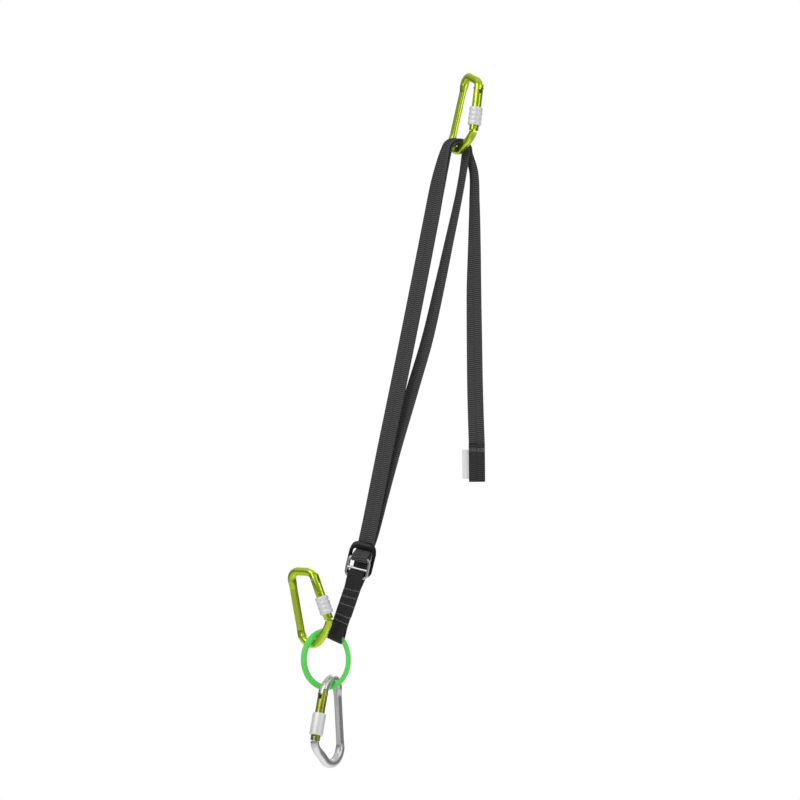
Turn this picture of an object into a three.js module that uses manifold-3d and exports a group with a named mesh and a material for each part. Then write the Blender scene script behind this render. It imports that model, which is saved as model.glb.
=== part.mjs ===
// Adjustable belay station sling: a webbing strap over a locking carabiner, with a two-frame friction buckle,
// a sewn tab, a textile ring and two more locking carabiners. Millimetres, +Z up, seen along +Y.
// The origin is where the upper carabiner's crown rests on its anchor.
import * as THREE from "three";
import { mergeVertices } from "three/addons/utils/BufferGeometryUtils.js";
import Module from "manifold-3d";

const wasm = await Module();
wasm.setup();

const gap = 0.3; // running gap between pieces that touch
const overrun = 2; // how far a cutter passes the face that it cuts

// Places are read off in pixels of an 800 x 800 view, and turned into millimetres here.
const mmPerPixel = 1.235;
const originPixel = { x: 468.6, y: 81 };

const webbing = { width: 20, thickness: 2.2 };

// A carabiner's own frame: x from spine to gate, y across, z from basket to crown, z = 0 under the basket.
const dCarabiner = {
  length: 102,
  barRadius: 4.9,
  spineHalfWidth: 3.7,
  spineGroove: 0.8,
  basketRadius: 16,
  basketX: 2,
  limbAngle: 36,
  noseLean: 26,
  crownRadius: 10.5,
  crownX: 2.5,
  crownAngle: 68,
  pivotX: 27.6,
  pivotDrop: 18,
  gateLean: 6.3,
  gateLength: 53,
  gateRadius: 5.75,
  sleeveRadius: 8.4,
  sleeveLength: 22.5,
  sleeveRibs: 4,
  sleeveRibDepth: 0.8,
};
const pearCarabiner = {
  length: 115.4,
  barRadius: 5.3,
  spineHalfWidth: 4.4,
  spineGroove: 0.9,
  basketRadius: 21.5,
  basketX: -1.5,
  limbAngle: 44,
  noseLean: 12,
  crownRadius: 12,
  crownX: -1.5,
  crownAngle: 60,
  pivotX: 19,
  pivotDrop: 23.4,
  gateLean: 15.7,
  gateLength: 58.5,
  gateRadius: 5.9,
  sleeveRadius: 8.35,
  sleeveLength: 27.7,
  sleeveRibs: 0,
  sleeveRibDepth: 0,
};

// What every gate shares.
const gateParts = {
  hingeRadius: 6.3,
  tangThickness: 4.2,
  tangRadius: 3.3,
  camOffset: 2.2,
  rivetRadius: 1.5,
  rivetHeadRadius: 2.2,
  rivetHeadHeight: 0.5,
  forkDepth: 7,
  boreRadius: 2.9,
  boreEnd: 34,
  plungerTip: 1.9,
  plungerRadius: 2.55,
  plungerLength: 9,
  springWire: 0.4,
  springTurns: 5,
  grooveRadius: 0.35,
  grooveDrop: 18,
  noseSlot: 5.7,
  noseHeight: 5.2,
  noseNeckShare: 0.45,
  noseNeck: 2.4,
  noseHead: 4.2,
  shoulderGap: 0.9,
  noseRadius: 4,
  noseTaper: 0.12,
  sleeveStart: 6.6,
  twistWire: 0.4,
  twistTurns: 3,
  twistRoom: 0.35,
  lipLength: 3,
};

const ring = {
  pixel: { x: 325.3, y: 659.5 },
  depth: 0,
  twist: 6,
  twistFrom: 30,
  halfWidth: 27.5,
  halfHeight: 34.9,
  thinRadius: 3.1,
  thickRadius: 3.8,
  coreRadius: 1.5,
  sheathWall: 1.2,
  tabAngle: 62,
  lowerAngle: 124,
  belayAngle: -67,
};

const buckle = {
  pixel: { x: 355.6, y: 575.6 },
  tilt: 13.5,
  turn: 17,
  barRadius: 1.9,
  barStep: 2.4,
  barRise: 1.5,
  frontWidth: 31,
  frontLength: 27.2,
  frontCorner: 5,
  frontLean: 1.8,
  crossbarRise: 10.1,
  crossbarRadius: 1.6,
  rearWidth: 35,
  rearLength: 42.6,
  rearCorner: 6,
  rearTopCorner: 8.5,
  rearRail: 2.4,
  rearDepth: 2,
  rearTopBar: 3.2,
  rearLean: -0.4,
};

const tab = { neckTop: 15, neckBottom: 15, sewnLength: 36 };

const upperPose = { tilt: 10, turn: 60 };
const lowerPose = { tilt: -14, turn: 37 };
const belayPose = { tilt: 1.2, turn: 122 };

// The strap's arches over the carabiner bar: how far they stand out to the sides, and how they cup.
const arch = { innerSpread: 10.2, outerSpread: 13.2, lift: 1.1, topCup: 140, sideCup: 105 };

// Centres of the strands in pixels with the depth in shares of the way from bend to buckle, the angle of the
// strap's width out of the view plane in degrees, and how far it still cups, in degrees.
const loadStrand = [
  { x: 443.6, y: 160, turn: 46, cup: 95 },
  { x: 437.4, y: 184, turn: 30, cup: 70 },
  { x: 430.2, y: 220, turn: 23, cup: 40 },
  { x: 418.3, y: 280, turn: 20, cup: 16 },
  { x: 406.3, y: 340, turn: 19, cup: 2 },
  { x: 394.1, y: 400, turn: 18, cup: 1 },
  { x: 381.8, y: 460, turn: 17, cup: 1 },
  { x: 370.2, y: 518, turn: 17, cup: 1 },
];
const fixedStrand = [
  { x: 370.2, y: 534, turn: 20, cup: 1 },
  { x: 380.6, y: 496, turn: 28, cup: 1 },
  { x: 394, y: 448, turn: 34, cup: 1 },
  { x: 412, y: 388, turn: 40, cup: 2 },
  { x: 426, y: 340, turn: 45, cup: 10 },
  { x: 437, y: 292, turn: 51, cup: 18 },
  { x: 447, y: 244, turn: 59, cup: 30 },
  { x: 456.2, y: 198, turn: 65, cup: 55 },
  { x: 460.4, y: 172, turn: 66, cup: 80 },
];
const tailStrand = [
  { x: 471, y: 172, turn: 58, cup: 85 },
  { x: 472.4, y: 202, turn: 52, cup: 60 },
  { x: 473, y: 244, turn: 41, cup: 35 },
  { x: 473, y: 290, turn: 26, cup: 15 },
  { x: 473.6, y: 340, turn: 18, cup: 4 },
  { x: 474.3, y: 388, turn: 12, cup: 1 },
  { x: 475.3, y: 424, turn: 8, cup: 1 },
];
const tailEnd = {
  pixel: { x: 476, y: 443.6 },
  tilt: -0.6,
  turn: 5,
  length: 47.5,
  slit: 0.5,
  sewn: 9,
  labelWidth: 8,
  labelLength: 36,
  labelThickness: 0.8,
  labelDrop: 7.5,
};

const radians = THREE.MathUtils.degToRad;
const lerp = THREE.MathUtils.lerp;
const smooth = (value, low, high) => THREE.MathUtils.smoothstep(value, low, high);
const vector = (x, y, z) => new THREE.Vector3(x, y, z);
const fromPixel = ({ x, y }, depth) =>
  vector((x - originPixel.x) * mmPerPixel, depth, (originPixel.y - y) * mmPerPixel);

const finish = (color, roughness, metalness) => new THREE.MeshStandardMaterial({ color, roughness, metalness });
const finishes = {
  green: finish(0xa8cf2a, 0.3, 0.9),
  olive: finish(0x8f9a2a, 0.35, 0.9),
  silver: finish(0xb9bbbd, 0.25, 1),
  steel: finish(0x8d9094, 0.35, 1),
  satin: finish(0xd6d8da, 0.4, 0.7),
  black: finish(0x0b0b0c, 0.2, 0.2),
  strap: finish(0x3a3b3c, 0.85, 0),
  ring: finish(0x4fd965, 0.7, 0),
  core: finish(0xe8ebe4, 0.8, 0),
  label: finish(0xf2f2f0, 0.8, 0),
};

// Solids: a geometry becomes a closed solid for joining and cutting, and comes back as a geometry.
function solidOf(geometry) {
  const bare = geometry.clone();
  bare.deleteAttribute("normal");
  bare.deleteAttribute("uv");
  const merged = mergeVertices(bare, 1e-4);
  const vertProperties = merged.attributes.position.array;
  const triVerts = new Uint32Array(merged.index.array);
  return new wasm.Manifold(new wasm.Mesh({ numProp: 3, vertProperties, triVerts }));
}

function geometryOf(solid) {
  const mesh = solid.getMesh();
  const geometry = new THREE.BufferGeometry();
  geometry.setAttribute("position", new THREE.BufferAttribute(new Float32Array(mesh.vertProperties), 3));
  geometry.setIndex(new THREE.BufferAttribute(mesh.triVerts, 1));
  geometry.computeVertexNormals();
  return geometry;
}

const join = (first, ...others) => geometryOf(others.reduce((a, b) => a.add(solidOf(b)), solidOf(first)));
const cut = (first, ...others) => geometryOf(others.reduce((a, b) => a.subtract(solidOf(b)), solidOf(first)));
const common = (first, second) => geometryOf(solidOf(first).intersect(solidOf(second)));

// A closed surface through rings of points. A loop joins its last ring to its first; open ends are capped by
// strips between each point and the one opposite, which suits round and curled sections alike.
function skin(rings, loop = false) {
  const sides = rings[0].length;
  const faces = [];
  const spans = loop ? rings.length : rings.length - 1;
  for (let i = 0; i < spans; i++) {
    const here = i * sides;
    const there = ((i + 1) % rings.length) * sides;
    for (let j = 0; j < sides; j++) {
      const k = (j + 1) % sides;
      faces.push(here + j, here + k, there + j, here + k, there + k, there + j);
    }
  }
  if (!loop) {
    const last = (rings.length - 1) * sides;
    for (let i = 0; i < sides / 2 - 1; i++) {
      const [a, b, c, d] = [i, i + 1, sides - 2 - i, sides - 1 - i];
      faces.push(a, d, b, last + a, last + b, last + d);
      if (b !== c) faces.push(b, d, c, last + b, last + c, last + d);
    }
  }
  const geometry = new THREE.BufferGeometry().setFromPoints(rings.flat());
  geometry.setIndex(faces);
  geometry.computeVertexNormals();
  return geometry;
}

// Rings of an oval section along a flat path in the XZ plane, widened or narrowed by sizeAt(share, point).
function flatTube(points, sides, sizeAt, loop = false) {
  const count = points.length;
  const rings = points.map((point, i) => {
    const before = points[loop ? (i + count - 1) % count : Math.max(i - 1, 0)];
    const after = points[loop ? (i + 1) % count : Math.min(i + 1, count - 1)];
    const along = after.clone().sub(before).normalize();
    const { inPlane, across, groove = 0 } = sizeAt(i / (count - 1), point);
    return Array.from({ length: sides }, (_, j) => {
      const angle = (2 * Math.PI * (j + 0.5)) / sides;
      const waist = across - groove * Math.sin(angle) ** 4;
      const out = inPlane * Math.cos(angle);
      return vector(point.x + out * along.y, waist * Math.sin(angle), point.y - out * along.x);
    });
  });
  return skin(rings, loop);
}

// A round bar along Y, centred on y = 0, at (x, z).
function crossPin(radius, length, x = 0, z = 0, sides = 20) {
  return new THREE.CylinderGeometry(radius, radius, length, sides).translate(x, 0, z);
}

// A turned piece about Z from its outline of radius and height pairs, listed upwards on the outside.
function turned(outline, sides) {
  const points = outline.map(([radius, height]) => new THREE.Vector2(radius, height));
  return new THREE.LatheGeometry(points, sides).rotateX(Math.PI / 2);
}

const block = (width, depth, height, z) => new THREE.BoxGeometry(width, depth, height).translate(0, 0, z);

// A coil spring about Z from low to high, as one tube.
function coil(radius, wire, turns, low, high) {
  const steps = turns * 12;
  const rings = Array.from({ length: steps + 1 }, (_, i) => {
    const angle = (2 * Math.PI * turns * i) / steps;
    const out = vector(Math.cos(angle), Math.sin(angle), 0);
    const centre = out.clone().multiplyScalar(radius).setZ(lerp(low + wire, high - wire, i / steps));
    return Array.from({ length: 6 }, (_, j) => {
      const around = (-2 * Math.PI * j) / 6;
      const rise = vector(0, 0, wire * Math.sin(around));
      return centre.clone().addScaledVector(out, wire * Math.cos(around)).add(rise);
    });
  });
  return skin(rings);
}

// The carabiner's centreline in its own plane, from the nose shoulder round the basket, up the spine, which is
// the outer tangent of basket and crown, and over the crown to the gate's pivot.
function frameLine(shape) {
  const { barRadius, basketRadius, crownRadius, gateLength } = shape;
  const basket = new THREE.Vector2(shape.basketX, barRadius + basketRadius);
  const crown = new THREE.Vector2(shape.crownX, shape.length - barRadius - crownRadius);
  const pivot = new THREE.Vector2(shape.pivotX, shape.length - shape.pivotDrop);
  const lean = radians(shape.gateLean);
  const down = new THREE.Vector2(Math.sin(lean), -Math.cos(lean));
  const nose = pivot.clone().addScaledVector(down, gateLength + gateParts.shoulderGap);
  const rise = crown.clone().sub(basket);
  const spineAngle = rise.angle() + Math.PI / 2 - Math.asin((basketRadius - crownRadius) / rise.length());
  const limb = radians(shape.limbAngle - 90);
  const limbStart = new THREE.Vector2(Math.cos(limb), Math.sin(limb)).multiplyScalar(basketRadius).add(basket);
  const limbWay = new THREE.Vector2(-Math.sin(limb), Math.cos(limb));
  const reach = nose.distanceTo(limbStart) / 3;
  const crownAngle = radians(shape.crownAngle);
  const crownEnd = new THREE.Vector2(Math.cos(crownAngle), Math.sin(crownAngle));
  crownEnd.multiplyScalar(crownRadius).add(crown);
  const crownWay = new THREE.Vector2(Math.sin(crownAngle), -Math.cos(crownAngle));
  const crownReach = pivot.distanceTo(crownEnd) / 3;
  const line = new THREE.Path();
  line.moveTo(nose.x, nose.y);
  const noseWay = down.clone().rotateAround(new THREE.Vector2(), -radians(shape.noseLean));
  const leave = nose.clone().addScaledVector(noseWay, reach);
  const arrive = limbStart.clone().addScaledVector(limbWay, reach);
  line.bezierCurveTo(leave.x, leave.y, arrive.x, arrive.y, limbStart.x, limbStart.y);
  line.absarc(basket.x, basket.y, basketRadius, limb, spineAngle - 2 * Math.PI, true);
  line.absarc(crown.x, crown.y, crownRadius, spineAngle, crownAngle, true);
  const off = crownEnd.clone().addScaledVector(crownWay, crownReach);
  const last = pivot.clone().addScaledVector(down, -crownReach);
  line.bezierCurveTo(off.x, off.y, last.x, last.y, pivot.x, pivot.y);
  return { line, basket, crown, pivot, lean };
}

const toGate = (geometry, { pivot, lean }) => geometry.rotateY(-lean).translate(pivot.x, 0, pivot.y);

// The frame: a swept bar with a waisted spine, a thin tang with a cam at the hinge and a T-shaped nose.
function frameGeometry(shape) {
  const made = frameLine(shape);
  const { line, basket, crown, pivot } = made;
  const { barRadius, spineHalfWidth, spineGroove } = shape;
  const { tangThickness, tangRadius, hingeRadius, camOffset, rivetRadius, shoulderGap } = gateParts;
  const clear = hingeRadius + 2 * gap;
  const bar = flatTube(line.getSpacedPoints(42), 12, (share, point) => {
    const onSpine =
      smooth(point.y, basket.y - barRadius, basket.y + barRadius) *
      (1 - smooth(point.y, crown.y - 2 * barRadius, crown.y)) *
      (1 - smooth(point.x, basket.x - barRadius, basket.x));
    const across = lerp(barRadius, spineHalfWidth, onSpine);
    const inPlane = lerp(gateParts.noseRadius, barRadius, smooth(share, 0, gateParts.noseTaper));
    return { inPlane, across, groove: spineGroove * onSpine };
  });
  const flank = (side) =>
    crossPin(clear, 2 * barRadius, pivot.x, pivot.y, 32).translate(0, side * (barRadius + tangThickness / 2), 0);
  const disc = crossPin(tangRadius, tangThickness, 0, 0, 28);
  const cam = crossPin(tangRadius, tangThickness, -camOffset, 0, 28);
  const hole = crossPin(rivetRadius + gap, tangThickness + 2 * overrun);
  // the bar's end lies past the pivot, so what would reach below the tang goes
  const below = block(2 * clear, tangThickness + 2 * overrun, clear, -clear / 2 - tangRadius / 2);
  const shoulderTop = -shape.gateLength - shoulderGap + overrun;
  const aboveShoulder = block(2 * clear + 2 * overrun, 2 * clear, 2 * overrun, shoulderTop);
  const nose = new THREE.Shape();
  const { noseNeck, noseHead, noseHeight } = gateParts;
  const neckEnd = shoulderGap + noseHeight * gateParts.noseNeckShare;
  nose.moveTo(-noseNeck, -overrun);
  nose.lineTo(noseNeck, -overrun);
  nose.lineTo(noseNeck, neckEnd);
  nose.lineTo(noseHead, neckEnd + noseHead - noseNeck);
  nose.lineTo(noseHead, shoulderGap + noseHeight);
  nose.lineTo(-noseHead, shoulderGap + noseHeight);
  nose.lineTo(-noseHead, neckEnd + noseHead - noseNeck);
  nose.lineTo(-noseNeck, neckEnd);
  const blade = new THREE.ExtrudeGeometry(nose, { depth: tangThickness, bevelEnabled: false });
  blade.translate(0, 0, -tangThickness / 2).rotateX(Math.PI / 2);
  blade.translate(0, 0, -shape.gateLength - shoulderGap);
  const trimmed = cut(bar, flank(1), flank(-1), toGate(below, made), toGate(aboveShoulder, made));
  return cut(join(trimmed, toGate(disc, made), toGate(cam, made), toGate(blade, made)), toGate(hole, made));
}

// The gate, in its own frame with the pivot at the origin and the nose end down: a bored tube with a fork for
// the tang, a slot for the nose, a round top and a groove that ends its thread.
function gateGeometry(shape) {
  const { gateRadius, gateLength } = shape;
  const { hingeRadius, tangThickness, forkDepth, boreRadius, boreEnd, rivetRadius } = gateParts;
  const { grooveRadius, grooveDrop, noseSlot } = gateParts;
  const chamfer = grooveRadius * 2;
  const tube = turned(
    [
      [0, -gateLength],
      [gateRadius - chamfer, -gateLength],
      [gateRadius, -gateLength + chamfer],
      [gateRadius, -grooveDrop - grooveRadius],
      [gateRadius - grooveRadius, -grooveDrop],
      [gateRadius, -grooveDrop + grooveRadius],
      [gateRadius, hingeRadius],
      [0, hingeRadius],
    ],
    24,
  );
  const slotWidth = tangThickness + 2 * gap;
  const wide = 2 * gateRadius + overrun;
  const fork = block(wide, slotWidth, hingeRadius + overrun + forkDepth, (hingeRadius + overrun - forkDepth) / 2);
  const slot = block(wide, slotWidth, noseSlot + overrun, -gateLength + (noseSlot - overrun) / 2);
  const bore = new THREE.CylinderGeometry(boreRadius, boreRadius, boreEnd - forkDepth + overrun, 16);
  bore.rotateX(Math.PI / 2).translate(0, 0, (-boreEnd - forkDepth + overrun) / 2);
  const pinHole = crossPin(rivetRadius + gap, wide);
  const roundTop = crossPin(hingeRadius, wide, 0, 0, 32);
  const belowPivot = block(wide, wide, gateLength + overrun, -(gateLength + overrun) / 2);
  return cut(common(tube, join(roundTop, belowPivot)), fork, slot, bore, pinHole);
}

function rivetGeometry(shape) {
  const { rivetRadius, rivetHeadRadius, rivetHeadHeight } = gateParts;
  const half = shape.gateRadius + gap;
  const head = (side) => crossPin(rivetHeadRadius, rivetHeadHeight, 0, 0, 16).translate(0, side * half, 0);
  return join(crossPin(rivetRadius, 2 * half, 0, 0, 16), head(1), head(-1));
}

// The plunger: a thin tip that follows the cam between the fork's ears, and a wider foot in the bore.
function plungerGeometry() {
  const { tangRadius, plungerTip, plungerRadius, plungerLength, forkDepth } = gateParts;
  const top = -tangRadius - gap;
  const step = -forkDepth - 2 * plungerTip * gap;
  return turned(
    [
      [0, top - plungerLength],
      [plungerRadius, top - plungerLength],
      [plungerRadius, step],
      [plungerTip, step],
      [plungerTip, top],
      [0, top],
    ],
    16,
  );
}

function gateSpringGeometry() {
  const { tangRadius, plungerLength, boreEnd, springWire, springTurns, plungerRadius } = gateParts;
  const top = -tangRadius - plungerLength - 2 * gap;
  return coil(plungerRadius - springWire, springWire, springTurns, -boreEnd + gap, top);
}

// The screw sleeve has round ribs outside; the twist sleeve is plain, with room inside for its spring.
function sleeveGeometry(shape) {
  const { gateRadius, sleeveRadius, sleeveLength, sleeveRibs, sleeveRibDepth } = shape;
  const { sleeveStart, twistWire, twistRoom, lipLength } = gateParts;
  const bottom = -shape.gateLength + sleeveStart;
  const inner = gateRadius + gap;
  const outline = [[inner, bottom]];
  if (sleeveRibs) {
    const steps = sleeveRibs * 4;
    for (let i = 0; i <= steps; i++) {
      const wave = (1 - Math.cos((2 * Math.PI * sleeveRibs * i) / steps)) / 2;
      outline.push([sleeveRadius - sleeveRibDepth * (1 - wave), bottom + (sleeveLength * i) / steps]);
    }
    outline.push([inner, bottom + sleeveLength]);
  } else {
    const chamfer = (sleeveRadius - inner) / 4;
    const recess = inner + 2 * twistWire + twistRoom;
    outline.push([sleeveRadius - chamfer, bottom]);
    outline.push([sleeveRadius, bottom + chamfer]);
    outline.push([sleeveRadius, bottom + sleeveLength - chamfer]);
    outline.push([sleeveRadius - chamfer, bottom + sleeveLength]);
    outline.push([inner, bottom + sleeveLength]);
    outline.push([inner, bottom + sleeveLength - lipLength]);
    outline.push([recess, bottom + sleeveLength - lipLength]);
    outline.push([recess, bottom + lipLength]);
    outline.push([inner, bottom + lipLength]);
  }
  outline.push([inner, bottom]);
  return turned(outline, 24);
}

function twistSpringGeometry(shape) {
  const { sleeveStart, twistWire, twistTurns, lipLength } = gateParts;
  const bottom = -shape.gateLength + sleeveStart + lipLength + gap;
  const top = bottom + shape.sleeveLength - 2 * lipLength - 2 * gap;
  return coil(shape.gateRadius + gap + twistWire, twistWire, twistTurns, bottom, top);
}

const object = new THREE.Group();

function place(group, name, geometry, material) {
  const mesh = new THREE.Mesh(geometry, material);
  mesh.name = name;
  group.add(mesh);
}

// A carabiner as a group in its own frame, its gate pieces in a group that leans with the gate.
function carabiner(prefix, shape, metal, gateMetal) {
  const { pivot, lean } = frameLine(shape);
  const group = new THREE.Group();
  const gate = new THREE.Group();
  gate.position.set(pivot.x, 0, pivot.y);
  gate.rotation.y = -lean;
  group.add(gate);
  place(group, prefix + "_frame", frameGeometry(shape), metal);
  place(gate, prefix + "_gate", gateGeometry(shape), gateMetal);
  place(gate, prefix + "_gate_rivet", rivetGeometry(shape), finishes.steel);
  place(gate, prefix + "_gate_plunger", plungerGeometry(), finishes.steel);
  place(gate, prefix + "_gate_spring", gateSpringGeometry(), finishes.steel);
  place(gate, prefix + "_lock_sleeve", sleeveGeometry(shape), finishes.satin);
  if (!shape.sleeveRibs) place(gate, prefix + "_sleeve_spring", twistSpringGeometry(shape), finishes.steel);
  return group;
}

// A frame turned about its long axis, gate side to the viewer, and then tilted in the view plane.
const turnAndTilt = ({ turn, tilt }) =>
  new THREE.Matrix4().makeRotationY(radians(tilt)).multiply(new THREE.Matrix4().makeRotationZ(radians(-turn)));

const axesOf = (matrix) => {
  const [x, y, z] = [vector(1, 0, 0), vector(0, 1, 0), vector(0, 0, 1)];
  return [x, y, z].map((axis) => axis.transformDirection(matrix));
};

function stand(group, pose, local, world) {
  const turn = turnAndTilt(pose);
  const offset = local.clone().applyMatrix4(turn);
  group.quaternion.setFromRotationMatrix(turn);
  group.position.copy(world).sub(offset);
  object.add(group);
}

// The upper carabiner hangs with the inside of its crown on the origin.
const crownInside = vector(dCarabiner.crownX, 0, dCarabiner.length - 2 * dCarabiner.barRadius);
const upper = carabiner("upper", dCarabiner, finishes.green, finishes.green);
stand(upper, upperPose, crownInside, vector(0, 0, 0));
const [barWay, barAcross, barUp] = axesOf(turnAndTilt(upperPose));
const basketBottom = vector(dCarabiner.basketX, 0, dCarabiner.barRadius);
const saddle = basketBottom.applyQuaternion(upper.quaternion).add(upper.position);

// The ring's oval, a little twisted out of the view plane as the carabiners turn it.
const ringCentre = fromPixel(ring.pixel, ring.depth);
const ringAt = (degrees) => {
  const [angle, twist] = [radians(degrees), radians(2 * (degrees - ring.twistFrom))];
  const across = ring.halfWidth * Math.cos(angle);
  const up = ring.halfHeight * Math.sin(angle);
  const place = vector(across, ring.twist * Math.sin(twist), up);
  return place.add(ringCentre);
};
const ringWay = (degrees) => {
  const [angle, twist] = [radians(degrees), radians(2 * (degrees - ring.twistFrom))];
  const [x, z] = [ring.halfWidth * Math.sin(angle), -ring.halfHeight * Math.cos(angle)];
  return vector(x, -2 * ring.twist * Math.cos(twist), z).normalize();
};
const ringOut = (degrees) => ringWay(degrees).cross(vector(0, 1, 0)).normalize();
const ringRadius = (degrees) => {
  const left = smooth(-Math.cos(radians(degrees)), -0.5, 0.5);
  return lerp(ring.thinRadius, ring.thickRadius, left);
};

// How finely and how far along the ring, in degrees, its bar's nearest place is looked for.
const seatSearch = { steps: 20, ringDegrees: 40 };

// Seats a carabiner's bar on the inside of the ring: along the common normal of the two bars, as near as their
// curves allow.
function hangOnRing(group, shape, pose, localAngle, circle, circleRadius, degrees) {
  const turn = turnAndTilt(pose);
  const around = (angle) =>
    vector(circle.x + circleRadius * Math.cos(angle), 0, circle.y + circleRadius * Math.sin(angle));
  const local = around(localAngle);
  const barWayHere = vector(-Math.sin(localAngle), 0, Math.cos(localAngle)).applyMatrix4(turn);
  const normal = ringWay(degrees).cross(barWayHere).normalize();
  if (normal.dot(ringCentre.clone().sub(ringAt(degrees))) < 0) normal.negate();
  const wanted = shape.barRadius + ringRadius(degrees) + 1.5 * gap;
  const { steps, ringDegrees } = seatSearch;
  const spread = Array.from({ length: 2 * steps + 1 }, (_, i) => (i - steps) / steps);
  const ringPoints = spread.map((share) => ringAt(degrees + ringDegrees * share));
  const barPoints = spread.map((share) => around(localAngle + share).applyMatrix4(turn));
  const start = local.clone().applyMatrix4(turn);
  const nearest = (distance) => {
    const shift = ringAt(degrees).addScaledVector(normal, distance).sub(start);
    return Math.min(...barPoints.map((point) => {
      const moved = point.clone().add(shift);
      return Math.min(...ringPoints.map((other) => other.distanceTo(moved)));
    }));
  };
  let [low, high] = [wanted, 2 * wanted];
  for (let i = 0; i < 20; i++) {
    const middle = (low + high) / 2;
    if (nearest(middle) < wanted) low = middle;
    else high = middle;
  }
  stand(group, pose, local, ringAt(degrees).addScaledVector(normal, high));
}

const lower = carabiner("lower", dCarabiner, finishes.green, finishes.green);
const dLine = frameLine(dCarabiner);
hangOnRing(
  lower, dCarabiner, lowerPose, radians(-62), dLine.basket, dCarabiner.basketRadius, ring.lowerAngle);

const belay = carabiner("belay", pearCarabiner, finishes.silver, finishes.olive);
const pearLine = frameLine(pearCarabiner);
hangOnRing(
  belay, pearCarabiner, belayPose, radians(90), pearLine.crown, pearCarabiner.crownRadius, ring.belayAngle);

// The ring: a hollow textile sheath whose ends meet inside the tab's eye, round a cord core.
function ringGeometries() {
  const steps = 30;
  const opening = 3; // degrees between the sheath's ends
  const section = (degrees, radius, sides) => {
    const centre = ringAt(degrees);
    const out = ringOut(degrees);
    const side = out.clone().cross(ringWay(degrees));
    return Array.from({ length: sides }, (_, j) => {
      const angle = (2 * Math.PI * (j + 0.5)) / sides;
      const radial = out.clone().multiplyScalar(Math.cos(angle)).addScaledVector(side, Math.sin(angle));
      return centre.clone().addScaledVector(radial, radius);
    });
  };
  const turns = Array.from({ length: steps + 1 }, (_, i) =>
    lerp(ring.tabAngle + opening / 2, ring.tabAngle + 360 - opening / 2, i / steps));
  const outside = turns.map((degrees) => section(degrees, ringRadius(degrees), 10));
  const inside = turns.map((degrees) => section(degrees, ringRadius(degrees) - ring.sheathWall, 10)).reverse();
  const whole = Array.from({ length: steps }, (_, i) => section((360 * i) / steps, ring.coreRadius, 8));
  return { sheath: skin([...outside, ...inside], true), core: skin(whole, true) };
}
const ringMade = ringGeometries();
place(object, "ring_sheath", ringMade.sheath, finishes.ring);
place(object, "ring_core", ringMade.core, finishes.core);

// The buckle's own frame: x across, y away from the viewer, z along the arm; its origin is the tab's upper eye.
const buckleTurn = turnAndTilt(buckle);
const buckleOrigin = fromPixel(buckle.pixel, ring.depth);
const [buckleX, buckleY, buckleZ] = axesOf(buckleTurn);
const atBuckle = (x, y, z) =>
  buckleOrigin.clone().addScaledVector(buckleX, x).addScaledVector(buckleY, y).addScaledVector(buckleZ, z);

// A rounded rectangle's centreline, from its bottom middle, in points.
function roundedLoop(width, length, corner, topCorner, count) {
  const half = width / 2;
  const line = new THREE.Path();
  line.moveTo(0, 0);
  line.lineTo(half - corner, 0);
  line.absarc(half - corner, corner, corner, -Math.PI / 2, 0, false);
  line.absarc(half - topCorner, length - topCorner, topCorner, 0, Math.PI / 2, false);
  line.absarc(topCorner - half, length - topCorner, topCorner, Math.PI / 2, Math.PI, false);
  line.absarc(corner - half, corner, corner, Math.PI, 1.5 * Math.PI, false);
  line.lineTo(0, 0);
  return line.getSpacedPoints(count).slice(0, count);
}

function buckleFrames() {
  const { barRadius, barStep, barRise, frontWidth, frontLength, rearWidth, rearLength } = buckle;
  const { rearRail, rearDepth, rearTopBar, crossbarRise, crossbarRadius } = buckle;
  const silver = { inPlane: barRadius, across: barRadius };
  const { frontCorner, rearCorner, rearTopCorner } = buckle;
  const [wide, high] = [frontWidth - 2 * barRadius, frontLength - 2 * barRadius];
  const frontLine = roundedLoop(wide, high, frontCorner, frontCorner, 36);
  const crossbar = new THREE.CylinderGeometry(crossbarRadius, crossbarRadius, frontWidth - 2 * barRadius, 12);
  crossbar.rotateZ(Math.PI / 2).translate(0, 0, crossbarRise);
  const front = join(flatTube(frontLine, 10, () => silver, true), crossbar);
  front.rotateX(Math.atan2(buckle.frontLean, frontLength)).translate(0, -barStep, -barRise);
  const rearSpan = rearLength - barRadius - rearTopBar;
  const rearLine = roundedLoop(rearWidth - 2 * rearRail, rearSpan, rearCorner, rearTopCorner, 36);
  const rear = flatTube(rearLine, 12, (share, point) => {
    const onBottom = 1 - smooth(point.y, 0, buckle.rearCorner);
    const onTop = smooth(point.y, rearSpan - buckle.rearCorner, rearSpan);
    const inPlane = lerp(lerp(rearRail, barRadius, onBottom), rearTopBar, onTop);
    return { inPlane, across: lerp(rearDepth, barRadius, onBottom) };
  }, true);
  rear.rotateX(Math.atan2(buckle.rearLean, rearLength)).translate(0, barStep, barRise);
  return { front, rear };
}
const frames = buckleFrames();
const buckleGroup = new THREE.Group();
buckleGroup.quaternion.setFromRotationMatrix(buckleTurn);
buckleGroup.position.copy(buckleOrigin);
place(buckleGroup, "buckle_front_frame", frames.front, finishes.silver);
place(buckleGroup, "buckle_rear_frame", frames.rear, finishes.black);
object.add(buckleGroup);

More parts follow.
